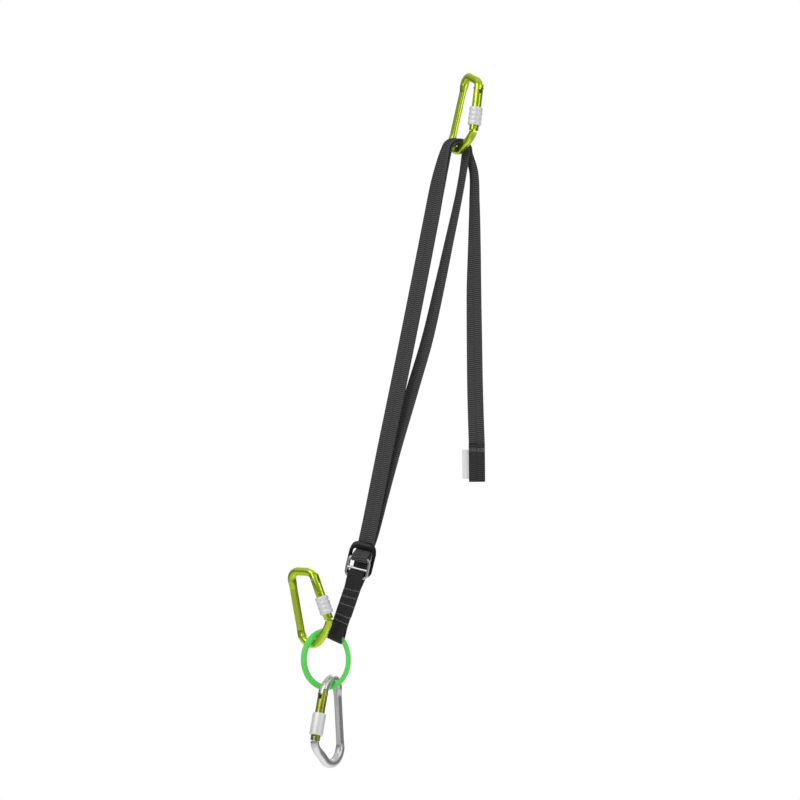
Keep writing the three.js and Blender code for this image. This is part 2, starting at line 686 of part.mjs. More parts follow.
// The tab: webbing folded round the buckle's two lower bars and round the ring, and sewn flat between.
const eyeInner = Math.hypot(buckle.barStep, buckle.barRise) + buckle.barRadius + gap;
const eyeOuter = eyeInner + webbing.thickness;
const ringSpeed = Math.hypot(
  ring.halfWidth * Math.sin(radians(ring.tabAngle)), ring.halfHeight * Math.cos(radians(ring.tabAngle)));
const tabSpan = THREE.MathUtils.radToDeg(webbing.width / 2 / ringSpeed);
const [tabLeft, tabRight] = [ringAt(ring.tabAngle + tabSpan), ringAt(ring.tabAngle - tabSpan)];
const tabTangent = tabRight.clone().sub(tabLeft).normalize();
const tabOut = tabTangent.clone().cross(vector(0, 1, 0)).normalize();
const tabThrough = tabOut.clone().cross(tabTangent);
const chordMiddle = tabLeft.clone().lerp(tabRight, 0.5);
const ringEye = ringAt(ring.tabAngle).lerp(chordMiddle, 0.5);
const ringSag = ringAt(ring.tabAngle).distanceTo(ringEye);
const ringEyeInner = ringRadius(ring.tabAngle + tabSpan) + ringSag + 3 * gap;
const ringEyeOuter = ringEyeInner + webbing.thickness;
const tabLength = buckleOrigin.distanceTo(ringEye);

// A point of the tab from its place across, through and along. The tab runs straight from eye to eye, and its
// width turns from the buckle's bars to the ring.
const tabWay = buckleOrigin.clone().sub(ringEye).normalize();
function atTab(across, through, along) {
  const share = smooth(-along, tab.neckTop, tabLength - tab.neckBottom);
  const wide = buckleX.clone().lerp(tabTangent, share).normalize();
  const deep = buckleY.clone().lerp(tabThrough, share).normalize();
  const centre = buckleOrigin.clone().addScaledVector(tabWay, along);
  return centre.addScaledVector(wide, across).addScaledVector(deep, through);
}

// The angle at which a line from the neck touches an eye's outline.
function touchAngle(radius, through, along) {
  return Math.acos(radius / Math.hypot(through, along)) - Math.atan2(along, through);
}

function tabGeometry() {
  const half = webbing.thickness + gap / 2;
  const low = -tabLength;
  const neckSteps = 8;
  const top = touchAngle(eyeOuter, half, tab.neckTop);
  const bottom = touchAngle(ringEyeOuter, half, tab.neckBottom);
  const shape = new THREE.Shape();
  shape.absarc(0, 0, eyeOuter, top, Math.PI - top, false);
  const neck = (side, share) => shape.lineTo(side * half, lerp(-tab.neckTop, low + tab.neckBottom, share));
  for (let i = 0; i <= neckSteps; i++) neck(-1, i / neckSteps);
  shape.absarc(0, low, ringEyeOuter, Math.PI + bottom, 2 * Math.PI - bottom, false);
  for (let i = neckSteps; i >= 0; i--) neck(1, i / neckSteps);
  const eye = (radius, centre, side, reach) => {
    const hole = new THREE.Path();
    const lean = Math.asin(radius / reach);
    const middle = (side * Math.PI) / 2;
    hole.absarc(0, centre, radius, middle - Math.PI / 2 - lean, middle + Math.PI / 2 + lean, false);
    hole.lineTo(0, centre - side * reach);
    return hole;
  };
  shape.holes.push(eye(eyeInner, 0, 1, tab.neckTop), eye(ringEyeInner, low, -1, tab.neckBottom));
  const geometry = new THREE.ExtrudeGeometry(shape, {
    depth: webbing.width, steps: 1, curveSegments: 14, bevelEnabled: false });
  return mapped(geometry, (x, y, z) => atTab(z - webbing.width / 2, x, y));
}

function mapped(geometry, to) {
  const made = geometry.clone();
  const places = made.attributes.position;
  for (let i = 0; i < places.count; i++) {
    const moved = to(places.getX(i), places.getY(i), places.getZ(i));
    places.setXYZ(i, moved.x, moved.y, moved.z);
  }
  return geometryOf(solidOf(made));
}
place(object, "tab_webbing", tabGeometry(), finishes.strap);

// The webbing's section at a station of its route. cup is the angle over which it curls, 0 for flat.
function strapRing(centre, along, across, cup) {
  const wide = across.clone().addScaledVector(along, -across.dot(along)).normalize();
  const out = along.clone().cross(wide);
  const half = webbing.thickness / 2;
  const cells = 6;
  const curl = Math.abs(cup) < radians(1) ? radians(1) : cup;
  const bend = webbing.width / curl;
  const row = (offset) =>
    Array.from({ length: cells + 1 }, (_, i) => {
      const angle = (i / cells - 0.5) * curl;
      return centre
        .clone()
        .addScaledVector(wide, (bend - offset) * Math.sin(angle))
        .addScaledVector(out, bend - (bend - offset) * Math.cos(angle));
    });
  return [...row(-half), ...row(half).reverse()];
}

// Stations of the route: a place, the direction of the width and the cup. An arch goes over the carabiner bar.
function archStations(spread, rise, from, to, sign) {
  const steps = 8;
  return Array.from({ length: steps + 1 }, (_, i) => {
    const angle = lerp(from, to, i / steps);
    const at = saddle
      .clone()
      .addScaledVector(barUp, rise * Math.cos(angle))
      .addScaledVector(barAcross, spread * Math.sin(angle));
    const cup = sign * radians(lerp(arch.topCup, arch.sideCup, Math.sin(angle) ** 2));
    return { at, across: barWay, cup };
  });
}

const innerRise = dCarabiner.barRadius + arch.lift + webbing.thickness / 2;
const layer = webbing.thickness + 2 * gap;
const nested = (cup) => webbing.width / (webbing.width / cup + layer);
const quarter = Math.PI / 2;
const outerArch = archStations(arch.outerSpread, innerRise + layer, -quarter, quarter, -1);
const innerArch = archStations(arch.innerSpread, innerRise, quarter, -quarter, 1).map((station) => ({
  ...station, cup: nested(station.cup) }));

// Where the strands pass the buckle: behind the rear frame's top bar, one behind another.
const topBarZ = buckle.barRise + buckle.rearLength - buckle.barRadius - buckle.rearTopBar;
const loadY = buckle.barStep + buckle.rearDepth + gap + webbing.thickness / 2 + gap;
const returnY = loadY + layer;
const fixedY = returnY + layer;
const wrapRadius = buckle.barRadius + 1.5 * gap + webbing.thickness / 2;
const frontAngle = Math.atan2(buckle.frontLean, buckle.frontLength);
const frontReach = buckle.frontLength - 2 * buckle.barRadius;
const wrapY = -buckle.barStep - frontReach * Math.sin(frontAngle);
const wrapZ = -buckle.barRise + frontReach * Math.cos(frontAngle);
const belowTop = topBarZ - buckle.rearTopBar - webbing.thickness;

function strandStations(list, startDepth, endDepth) {
  const [first, last] = [list[0], list[list.length - 1]];
  return list.map((entry) => ({
    at: fromPixel(entry, lerp(startDepth, endDepth, (entry.y - first.y) / (last.y - first.y))),
    across: vector(Math.cos(radians(entry.turn)), -Math.sin(radians(entry.turn)), 0),
    cup: radians(entry.cup),
  }));
}
const depthAtBuckle = (through) => atBuckle(0, through, topBarZ).y;
const archSideY = (spread, side) => saddle.y + side * spread * barAcross.y;
const buckleStation = (through, along) => ({ at: atBuckle(0, through, along), across: buckleX, cup: 0 });

// The angles at which the two strands touch the front frame's top bar.
const touchFrom = (through, along) =>
  Math.atan2(along - wrapZ, through - wrapY);
const spanFrom = (through, along) => Math.acos(wrapRadius / Math.hypot(through - wrapY, along - wrapZ));
const loadTouch = touchFrom(loadY, belowTop) + spanFrom(loadY, belowTop);
const returnTouch = touchFrom(returnY, belowTop) - spanFrom(returnY, belowTop);
const wrapStations = Array.from({ length: 9 }, (_, i) => {
  const angle = lerp(returnTouch + 2 * Math.PI, loadTouch, i / 8);
  return buckleStation(wrapY + wrapRadius * Math.cos(angle), wrapZ + wrapRadius * Math.sin(angle));
});

const loadDepths = [archSideY(arch.outerSpread, -1), depthAtBuckle(loadY)];
const loadLine = strandStations(loadStrand, ...loadDepths).map((s) => ({ ...s, cup: -s.cup }));
const returnLine = loadLine
  .map((station, i) => {
    const next = loadLine[Math.min(i + 1, loadLine.length - 1)].at;
    const before = loadLine[Math.max(i - 1, 0)].at;
    const along = next.clone().sub(before).normalize();
    const behind = station.across.clone().cross(along).normalize();
    if (behind.y < 0) behind.negate();
    return { ...station, at: station.at.clone().addScaledVector(behind, layer), cup: nested(-station.cup) };
  });
const fixedDepths = [depthAtBuckle(fixedY), archSideY(arch.innerSpread, 1)];
const fixedLine = strandStations(fixedStrand, ...fixedDepths);
const tailDepth = archSideY(arch.outerSpread, 1);
const tailLine = strandStations(tailStrand, tailDepth, tailDepth).map((s) => ({ ...s, cup: -s.cup }));
const tailTurn = turnAndTilt(tailEnd);
const [tailX] = axesOf(tailTurn);
const tailTop = fromPixel(tailEnd.pixel, tailDepth);

const behindEye = eyeOuter + gap + webbing.thickness / 2;
const fixedEnd = [
  buckleStation(behindEye, 0),
  buckleStation(fixedY, topBarZ - 2 * buckle.rearTopBar),
];

const pieces = [
  { name: "strap_fixed_strand", stations: [...fixedEnd, ...fixedLine], steps: 2 },
  { name: "strap_inner_bend", stations: innerArch, steps: 1 },
  { name: "strap_return_strand",
    stations: [...returnLine, buckleStation(returnY, topBarZ), buckleStation(returnY, belowTop)], steps: 2 },
  { name: "strap_buckle_wrap", stations: wrapStations, steps: 1 },
  { name: "strap_load_strand",
    stations: [buckleStation(loadY, belowTop), buckleStation(loadY, topBarZ), ...[...loadLine].reverse()],
    steps: 2 },
  { name: "strap_outer_bend", stations: outerArch, steps: 1 },
  { name: "strap_tail_strand",
    stations: [...tailLine, { at: tailTop.clone(), across: tailX, cup: 0 }], steps: 2 },
];

// One curve runs through all stations, so neighbours share their direction where they meet. Each piece ends
// half a gap short of the meeting place: a bend keeps its stations, and a strand takes the next bend's first.
function strapGeometries() {
  const route = [];
  const spans = pieces.map(({ stations, steps }, i) => {
    const bend = steps === 1;
    const from = bend || !route.length ? route.length : route.length - 1;
    route.push(...stations);
    const to = bend || i === pieces.length - 1 ? route.length - 1 : route.length;
    return { from, to, steps };
  });
  const curve = new THREE.CatmullRomCurve3(route.map((station) => station.at), false, "centripetal");
  const last = route.length - 1;
  const stationAt = (place) => {
    const index = Math.min(Math.floor(place), last - 1);
    const share = place - index;
    const [a, b] = [route[index], route[index + 1]];
    return strapRing(
      curve.getPoint(place / last),
      curve.getTangent(place / last),
      a.across.clone().lerp(b.across, share),
      lerp(a.cup, b.cup, share),
    );
  };
  const trim = (index, side) => {
    const other = route[Math.min(Math.max(index + side, 0), last)].at;
    return (side * gap) / 2 / Math.max(other.distanceTo(route[index].at), gap);
  };
  return spans.map(({ from, to, steps }) => {
    const places = [from + (from > 0 ? trim(from, 1) : 0)];
    for (let place = from + 1 / steps; place < to; place += 1 / steps) places.push(place);
    places.push(to + trim(to, -1));
    return skin(places.map(stationAt));
  });
}
strapGeometries().forEach((geometry, i) => place(object, pieces[i].name, geometry, finishes.strap));

// The strap's sewn end lies flat on the back of the tab.
function fixedEndGeometry() {
  const half = webbing.thickness / 2;
  const back = webbing.thickness + gap / 2 + gap + half;
  const touch = touchAngle(behindEye, back, tab.neckTop + half);
  const points = [];
  const flatSteps = 6;
  for (let i = 0; i <= flatSteps; i++) {
    points.push([back, lerp(-tab.neckTop - tab.sewnLength, -tab.neckTop - half, i / flatSteps)]);
  }
  const arcSteps = 3;
  for (let i = 0; i <= arcSteps; i++) {
    const angle = lerp(touch, 0, i / arcSteps);
    points.push([behindEye * Math.cos(angle), behindEye * Math.sin(angle) - (i === arcSteps ? gap : 0)]);
  }
  const rings = points.map(([through, along], i) => {
    const [y0, z0] = points[Math.max(i - 1, 0)];
    const [y1, z1] = points[Math.min(i + 1, points.length - 1)];
    const size = Math.hypot(y1 - y0, z1 - z0);
    const [ny, nz] = [(z1 - z0) / size, (y0 - y1) / size];
    const corner = (side, offset) =>
      atTab((side * webbing.width) / 2, through + ny * offset, along + nz * offset);
    return [corner(-1, -half), corner(1, -half), corner(1, half), corner(-1, half)];
  });
  return skin(rings);
}
place(object, "strap_fixed_end", fixedEndGeometry(), finishes.strap);

// The tail's end is folded on itself and sewn across, with a bare flag caught in its edge.
function tailEndGeometry() {
  const { length, slit, sewn } = tailEnd;
  const thick = webbing.thickness;
  const front = -thick * 1.5 - slit;
  const back = thick / 2;
  const middle = (front + back) / 2;
  const radius = (back - front) / 2;
  const outline = new THREE.Shape();
  outline.moveTo(back, 0);
  outline.lineTo(front, 0);
  outline.absarc(middle, radius - length, radius, Math.PI, 2 * Math.PI, false);
  const inside = new THREE.Path();
  inside.moveTo(middle - slit / 2, -sewn);
  inside.lineTo(middle + slit / 2, -sewn);
  inside.lineTo(middle + slit / 2, 2 * radius - length);
  inside.lineTo(middle - slit / 2, 2 * radius - length);
  outline.holes.push(inside);
  const geometry = new THREE.ExtrudeGeometry(outline, {
    depth: webbing.width, steps: 1, curveSegments: 8, bevelEnabled: false });
  return mapped(geometry, (x, y, z) => vector(z - webbing.width / 2, x, y - gap));
}
const tailGroup = new THREE.Group();
tailGroup.quaternion.setFromRotationMatrix(tailTurn);
tailGroup.position.copy(tailTop);
place(tailGroup, "strap_tail_end", tailEndGeometry(), finishes.strap);
const labelX = -(webbing.width + tailEnd.labelWidth) / 2 - gap;
const labelY = -(webbing.thickness + tailEnd.slit) / 2;
const label = new THREE.BoxGeometry(tailEnd.labelWidth, tailEnd.labelThickness, tailEnd.labelLength);
label.translate(labelX, labelY, -tailEnd.labelDrop - tailEnd.labelLength / 2);
place(tailGroup, "tail_label", label, finishes.label);
object.add(tailGroup);

// Where the moving pieces turn, for the record.
const tailHang = saddle.clone().addScaledVector(barAcross, arch.outerSpread);
object.userData.pivots = {
  saddle,
  buckle: buckleOrigin,
  ringEye,
  tabTangent,
  lowerContact: ringAt(ring.lowerAngle),
  lowerWay: ringWay(ring.lowerAngle),
  belayContact: ringAt(ring.belayAngle),
  belayWay: ringWay(ring.belayAngle),
  tailHang,
};

export default object;
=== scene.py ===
import math
import bpy
import mathutils
import numpy as np
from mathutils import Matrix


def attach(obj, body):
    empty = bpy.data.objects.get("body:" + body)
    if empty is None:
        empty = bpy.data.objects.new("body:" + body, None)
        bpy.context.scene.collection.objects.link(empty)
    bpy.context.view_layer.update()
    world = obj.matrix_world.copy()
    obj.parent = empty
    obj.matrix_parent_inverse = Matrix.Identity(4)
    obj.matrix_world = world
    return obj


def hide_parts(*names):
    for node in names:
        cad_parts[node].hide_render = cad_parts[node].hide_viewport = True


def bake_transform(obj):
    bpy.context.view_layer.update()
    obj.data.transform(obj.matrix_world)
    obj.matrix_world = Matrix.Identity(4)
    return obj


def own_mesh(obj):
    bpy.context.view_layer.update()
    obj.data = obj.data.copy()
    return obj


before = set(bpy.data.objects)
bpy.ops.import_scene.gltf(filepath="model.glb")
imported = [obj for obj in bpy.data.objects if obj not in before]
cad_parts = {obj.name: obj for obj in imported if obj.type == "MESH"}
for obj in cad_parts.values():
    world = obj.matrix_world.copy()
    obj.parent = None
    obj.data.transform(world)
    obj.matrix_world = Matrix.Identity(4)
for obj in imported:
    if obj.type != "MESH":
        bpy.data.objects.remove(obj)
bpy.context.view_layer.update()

mm = 0.001
tiny = 0.01  # closes a pole, in millimetres
fullTurn = 2 * math.pi


# A new object for some data, in the scene.
def linked(name, data):
    made = bpy.data.objects.new(name, data)
    bpy.context.scene.collection.objects.link(made)
    return made


# The camera looks along +Y from far off, like the photograph's long lens.
view = {"centreX": -0.0858, "centreZ": -0.394, "height": 0.988, "distance": 6.0, "sensor": 36.0}
cameraData = bpy.data.cameras.new("camera")
cameraData.sensor_width = view["sensor"]
cameraData.lens = view["sensor"] * view["distance"] / view["height"]
cameraData.clip_end = 4 * view["distance"]
camera = linked("camera", cameraData)
camera.location = (view["centreX"], -view["distance"], view["centreZ"])
camera.rotation_euler = (math.pi / 2, 0, 0)
bpy.context.scene.camera = camera


# One shader node: its kind, its settings, such as a ramp's stops, and a value or a link for each socket.
def addNode(tree, kind, settings=None, sockets=None):
    node = tree.nodes.new(kind)
    for name, setting in (settings or {}).items():
        if name == "stops":
            setStops(node.color_ramp.elements, setting)
        else:
            setattr(node, name, setting)
    for place, value in (sockets or {}).items():
        value = value.socket if isinstance(value, Value) else value
        if isinstance(value, bpy.types.NodeSocket):
            tree.links.new(value, node.inputs[place])
        else:
            node.inputs[place].default_value = value
    return node


# A ramp's grey stops, as pairs of place and shade. The first and the last are there already.
def setStops(elements, stops):
    for place, _ in stops[1:-1]:
        elements.new(place)
    for stop, (_, shade) in zip(elements, stops):
        stop.color = (shade, shade, shade, 1)


class Value:
    # a socket of a shader tree: each operator on it adds a Math node and gives the node's output
    def __init__(self, tree, socket):
        self.tree, self.socket = tree, socket

    def step(self, operation, *inputs):
        node = addNode(self.tree, "ShaderNodeMath", {"operation": operation}, dict(enumerate(inputs)))
        return Value(self.tree, node.outputs[0])

    def __add__(self, other):
        return self.step("ADD", self, other)

    def __radd__(self, other):
        return self.step("ADD", other, self)

    def __sub__(self, other):
        return self.step("SUBTRACT", self, other)

    def __rsub__(self, other):
        return self.step("SUBTRACT", other, self)

    def __mul__(self, other):
        return self.step("MULTIPLY", self, other)

    def __rmul__(self, other):
        return self.step("MULTIPLY", other, self)

    def sine(self):
        return self.step("SINE", self)

    def absolute(self):
        return self.step("ABSOLUTE", self)

    def power(self, other):
        return self.step("POWER", self, other)

    def over(self, other):
        return self.step("GREATER_THAN", self, other)

    def atLeast(self, other):
        return self.step("MAXIMUM", self, other)

    def atMost(self, other):
        return self.step("MINIMUM", self, other)


# A new material: its colour, its roughness, how metallic it is, and other sockets by their names.
def newMaterial(name, color, roughness, metallic=0.0, **sockets):
    material = bpy.data.materials.new(name)
    material.use_nodes = True
    shader = material.node_tree.nodes["Principled BSDF"]
    shader.inputs["Base Color"].default_value = (*color, 1)
    shader.inputs["Roughness"].default_value = roughness
    shader.inputs["Metallic"].default_value = metallic
    for socket, value in sockets.items():
        shader.inputs[socket.replace("_", " ")].default_value = value
    return material


# The three axes of a piece's UV map or of its object, and the whole vector.
def coordinates(tree, source):
    vector = addNode(tree, "ShaderNodeTexCoord").outputs[source]
    split = addNode(tree, "ShaderNodeSeparateXYZ", None, {0: vector})
    return [Value(tree, output) for output in split.outputs], vector


# A cloudy noise from 0 to 1 over a vector.
def noiseOf(tree, vector, scale, detail=3.0):
    sockets = {"Vector": vector, "Scale": scale, "Detail": detail}
    return Value(tree, addNode(tree, "ShaderNodeTexNoise", None, sockets).outputs["Fac"])


# Gives a material a colour between two by a shade from 0 to 1, and a bump by a height.
def setSurface(material, shade, first, second, height, distance, strength):
    tree = material.node_tree
    shader = tree.nodes["Principled BSDF"]
    colors = {"Factor": shade, 6: (*first, 1), 7: (*second, 1)}
    mixed = addNode(tree, "ShaderNodeMix", {"data_type": "RGBA"}, colors)
    bumps = {"Distance": distance, "Strength": strength, "Height": height}
    bump = addNode(tree, "ShaderNodeBump", None, bumps)
    tree.links.new(mixed.outputs[2], shader.inputs["Base Color"])
    tree.links.new(bump.outputs[0], shader.inputs["Normal"])


# The weave in millimetres: ribs across, fine slanted threads in them, a seam in the middle and plain edges.
weave = {
    "ribPitch": 2.4, "ribPower": 1.8, "threadPitch": 0.62, "threadLean": 0.9, "threadPower": 0.7,
    "threadShare": 0.35, "seam": 0.45, "seamShare": 0.6, "edgeAt": 8.9, "edgeSlope": 4.0, "edgeShade": 0.8,
    "fuzzScale": 1.7, "fuzz": 0.5, "fuzzHeight": 0.2, "height": 0.0006, "bump": 0.8, "roughness": 0.82,
    "sheen": 0.03, "sheenRoughness": 0.6,
}


# Ribs are a power of a sine along the strap, half a rib later on its right side. Threads are a sine across
# it. The UV map is in millimetres: U across the strap, V along it.
def wovenMaterial(name, gapColor, ribColor):
    material = newMaterial(name, ribColor, weave["roughness"], Sheen_Weight=weave["sheen"],
                           Sheen_Roughness=weave["sheenRoughness"])
    tree = material.node_tree
    (across, along, _), vector = coordinates(tree, "UV")
    rib = along * (math.pi / weave["ribPitch"]) + across.over(0.0) * (math.pi / 2)
    rib = rib.sine().absolute().power(weave["ribPower"])
    thread = across * (math.pi / weave["threadPitch"]) + along * weave["threadLean"]
    thread = thread.sine().absolute().power(weave["threadPower"])
    middle = (across.absolute() * (1 / weave["seam"])).atMost(1.0)
    edge = ((across.absolute() - weave["edgeAt"]) * weave["edgeSlope"]).atLeast(0.0).atMost(1.0)
    fuzz = noiseOf(tree, vector, weave["fuzzScale"])
    threaded = thread * weave["threadShare"] + (1 - weave["threadShare"])
    seamed = middle * weave["seamShare"] + (1 - weave["seamShare"])
    cloth = rib * threaded * seamed * (1.0 - edge) + thread * edge * weave["edgeShade"]
    shade = cloth * (fuzz * weave["fuzz"] + (1 - weave["fuzz"] / 2))
    height = cloth + fuzz * weave["fuzzHeight"]
    setSurface(material, shade, gapColor, ribColor, height, weave["height"], weave["bump"])
    return material


braid = {
    "around": 1.3, "along": 1.7, "cells": 16, "power": 0.4, "fuzzScale": 2.2, "fuzz": 0.4, "light": 0.85,
    "height": 0.0005, "bump": 0.6, "roughness": 0.7,
}


# A braid is a power of the product of two sines, which run along and round the cord in opposite slants. U runs
# round the cord and V along it, both close to millimetres.
def braidMaterial(name, gapColor, threadColor):
    material = newMaterial(name, threadColor, braid["roughness"])
    tree = material.node_tree
    (around, along, _), vector = coordinates(tree, "UV")
    turn, run = around * (math.pi / braid["around"]), along * (math.pi / braid["along"])
    plait = ((turn + run).sine().absolute() * (turn - run).sine().absolute()).power(braid["power"])
    fuzz = noiseOf(tree, vector, braid["fuzzScale"])
    shade = plait * (fuzz * braid["fuzz"] + braid["light"])
    setSurface(material, shade, gapColor, threadColor, plait, braid["height"], braid["bump"])
    return material


metalGrain = {"scale": 900.0, "detail": 6.0, "wear": 0.06}


# A metal whose roughness wavers by a fine noise round its mean.
def metalMaterial(name, color, roughness, metallic=1.0):
    material = newMaterial(name, color, roughness, metallic)
    tree = material.node_tree
    _, vector = coordinates(tree, "Object")
    grain = noiseOf(tree, vector, metalGrain["scale"], metalGrain["detail"])
    wavered = grain * metalGrain["wear"] + (roughness - metalGrain["wear"] / 2)
    tree.links.new(wavered.socket, tree.nodes["Principled BSDF"].inputs["Roughness"])
    return material


materials = {
    "strap": wovenMaterial("webbingLook", (0.002, 0.002, 0.002), (0.12, 0.12, 0.122)),
    # the tail's folded end: the strap's webbing painted darker, as painted shade for the doubled end's angle
    # to the light
    "tailEnd": wovenMaterial("tailShadedLook", (0.003, 0.003, 0.003), (0.05, 0.05, 0.051)),
    "tab": wovenMaterial("tabLook", (0.003, 0.003, 0.003), (0.027, 0.027, 0.028)),
    "thread": newMaterial("threadLook", (0.6, 0.6, 0.61), 0.6, Sheen_Weight=0.3),
    "tabThread": newMaterial("tabThreadLook", (0.5, 0.5, 0.51), 0.6, Sheen_Weight=0.3),
    "ring": braidMaterial("ringLook", (0.05, 0.8, 0.06), (0.21, 1.0, 0.2)),
    "cord": newMaterial("cordLook", (0.8, 0.84, 0.78), 0.8),
    "lime": metalMaterial("limeLook", (0.56, 0.74, 0.055), 0.27),
    "olive": metalMaterial("oliveLook", (0.35, 0.39, 0.05), 0.32),
    "silver": metalMaterial("silverLook", (0.75, 0.75, 0.76), 0.3),
    "sleeve": metalMaterial("sleeveLook", (0.86, 0.86, 0.87), 0.58, metallic=0.6),
    "plainSleeve": metalMaterial("plainSleeveLook", (0.88, 0.88, 0.88), 0.5, metallic=0.45),
    "steel": metalMaterial("steelLook", (0.5, 0.51, 0.52), 0.32),
    "bright": metalMaterial("brightLook", (0.5, 0.5, 0.51), 0.26),
    "black": newMaterial("blackLook", (0.002, 0.002, 0.002), 0.32, Specular_IOR_Level=0.3),
    "label": newMaterial("labelLook", (0.94, 0.94, 0.93), 0.75),
}
print("materials done")


# A piece of the look from points in millimetres: it rides on one body, or, given two, is only set in place.
def addMesh(name, points, faces, look, body, replaced=(), uv=None, sharp=40):
    mesh = bpy.data.meshes.new(name)
    mesh.from_pydata((np.asarray(points) * mm).tolist(), [], faces)
    if uv is not None:
        layer = mesh.uv_layers.new(name="UVMap")
        layer.data.foreach_set("uv", np.asarray(uv, np.float32).ravel())
    mesh.materials.append(materials[look])
    mesh.shade_smooth()
    mesh.set_sharp_from_angle(angle=math.radians(sharp))
    piece = linked(name, mesh)
    if isinstance(body, str):
        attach(piece, body)
    else:
        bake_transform(piece)
    if replaced:
        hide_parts(*replaced)
    return piece


# Points in rings, shape (rows, columns, 3), to four-sided faces with UV corners. Rows run along a piece and
# columns round it. Open ends are closed by one face each.
def gridOf(rings, alongs=None, arounds=None, closedRows=False):
    rows, columns = rings.shape[:2]
    row, column = np.meshgrid(np.arange(rows if closedRows else rows - 1), np.arange(columns), indexing="ij")
    following, above = (column + 1) % columns, (row + 1) % rows
    corners = [row * columns + column, row * columns + following,
               above * columns + following, above * columns + column]
    faces = np.stack(corners, axis=-1).reshape(-1, 4).tolist()
    ring = np.arange(columns)
    ends = () if closedRows else ((ring[::-1], 0), (ring, rows - 1))
    faces += [(last * columns + order).tolist() for order, last in ends]
    if alongs is None:
        return rings.reshape(-1, 3), faces, None
    steps = ((0, 0), (1, 0), (1, 1), (0, 1))
    corners = [np.stack([arounds[column + i], alongs[row + j]], axis=-1) for i, j in steps]
    uv = [np.stack(corners, axis=2).reshape(-1, 2)]
    for order, last in ends:
        uv.append(np.stack([arounds[order], np.full(columns, alongs[-1 if last else 0])], axis=1))
    return rings.reshape(-1, 3), faces, np.concatenate(uv)


# Vectors divided by their lengths.
def unit(vectors):
    return vectors / np.linalg.norm(vectors, axis=-1, keepdims=True)


# The length run at each point of a line.
def lengthsOf(points):
    return np.concatenate([[0], np.cumsum(np.linalg.norm(np.diff(points, axis=0), axis=1))])


# A count of points at even steps along a line.
def evenly(points, count):
    places = lengthsOf(points)
    wanted = np.linspace(0, places[-1], count)
    return np.stack([np.interp(wanted, places, column) for column in points.T], axis=1)


# Circles of radius one round a line, from two directions at each point: the one times a cosine plus the other
# times a sine.
def circled(first, second, sides):
    turns = fullTurn * np.arange(sides) / sides
    cosine, sine = np.cos(turns)[None, :, None], np.sin(turns)[None, :, None]
    return first[:, None, :] * cosine + second[:, None, :] * sine


# From 0 at low to 1 at high, by three squares less two cubes.
def smoothStep(value, low, high):
    share = np.clip((value - low) / (high - low), 0, 1)
    return share * share * (3 - 2 * share)


# The axes of a piece turned round Z and then tilted round Y.
def turned(turn, tilt):
    a, b = math.radians(turn), math.radians(tilt)
    swing = np.array([[math.cos(b), 0, math.sin(b)], [0, 1, 0], [-math.sin(b), 0, math.cos(b)]])
    spin = np.array([[math.cos(a), math.sin(a), 0], [-math.sin(a), math.cos(a), 0], [0, 0, 1]])
    return swing @ spin


# Cuts meshes out of a mesh, all in millimetres, and gives back its points and faces.
def carved(points, faces, cutters):
    made = []
    for count, (cutPoints, cutFaces) in enumerate([(points, faces), *cutters]):
        mesh = bpy.data.meshes.new("carve%d" % count)
        mesh.from_pydata(np.asarray(cutPoints).tolist(), [], cutFaces)
        made.append(linked("carve%d" % count, mesh))
    for cutter in made[1:]:
        change = made[0].modifiers.new("cut", "BOOLEAN")
        change.operation = "DIFFERENCE"
        change.solver = "EXACT"
        change.object = cutter
    bpy.context.view_layer.update()
    result = made[0].evaluated_get(bpy.context.evaluated_depsgraph_get()).to_mesh()
    found = np.empty(len(result.vertices) * 3)
    result.vertices.foreach_get("co", found)
    polygons = [tuple(polygon.vertices) for polygon in result.polygons]
    for cut in made:
        mesh = cut.data
        bpy.data.objects.remove(cut)
        bpy.data.meshes.remove(mesh)
    return found.reshape(-1, 3), polygons


# Meshes as one: each one's faces count on from the points before it.
def joined(*parts):
    points, faces, start = [], [], 0
    for partPoints, partFaces in parts:
        points.append(np.asarray(partPoints))
        faces += [tuple(start + index for index in face) for face in partFaces]
        start += len(partPoints)
    return np.concatenate(points), faces


# Rings of an outline spun round Z: each radius times a cosine and a sine, at its own height.
def spun(outline, sides):
    outline = np.asarray(outline, float)
    angles = np.linspace(0, fullTurn, sides, endpoint=False)
    heights = np.repeat(outline[:, 1:], sides, axis=1)
    return np.stack([outline[:, :1] * np.cos(angles), outline[:, :1] * np.sin(angles), heights], axis=2)


# A cylinder with chamfered ends along X, Y or Z.
def barrel(radius, length, centre=(0, 0, 0), axis=2, sides=48, soft=0.0):
    high = length / 2
    outline = [(radius, -high), (radius, high)]
    if soft:
        less = radius - soft
        outline = [(less, -high), (radius, soft - high), (radius, high - soft), (less, high)]
    points, faces, _ = gridOf(spun(outline, sides))
    return np.roll(points, axis - 2, axis=1) + np.asarray(centre), faces


# A box round its centre, from its eight corners.
def block(width, depth, height, centre=(0, 0, 0)):
    x, y, z = width / 2, depth / 2, height / 2
    points = np.array([(i, j, k) for k in (-z, z) for i, j in ((-x, -y), (x, -y), (x, y), (-x, y))])
    faces = [(3, 2, 1, 0), (4, 5, 6, 7), (0, 1, 5, 4), (1, 2, 6, 5), (2, 3, 7, 6), (3, 0, 4, 7)]
    return points + np.asarray(centre), faces


# An outline in the XZ plane drawn out along Y.
def prism(outline, depth, centre=(0, 0, 0)):
    count = len(outline)
    points = np.array([(x, side * depth / 2, z) for side in (-1, 1) for x, z in outline])
    faces = [tuple(range(count)), tuple(reversed(range(count, 2 * count)))]
    faces += [(i, count + i, count + (i + 1) % count, (i + 1) % count) for i in range(count)]
    return points + np.asarray(centre), faces


# A cubic Bezier curve through its four points' weights.
def bezier(first, second, third, fourth, count=80):
    share = np.linspace(0, 1, count)[:, None]
    rest = 1 - share
    start = rest ** 3 * first + 3 * rest ** 2 * share * second
    return start + 3 * rest * share ** 2 * third + share ** 3 * fourth


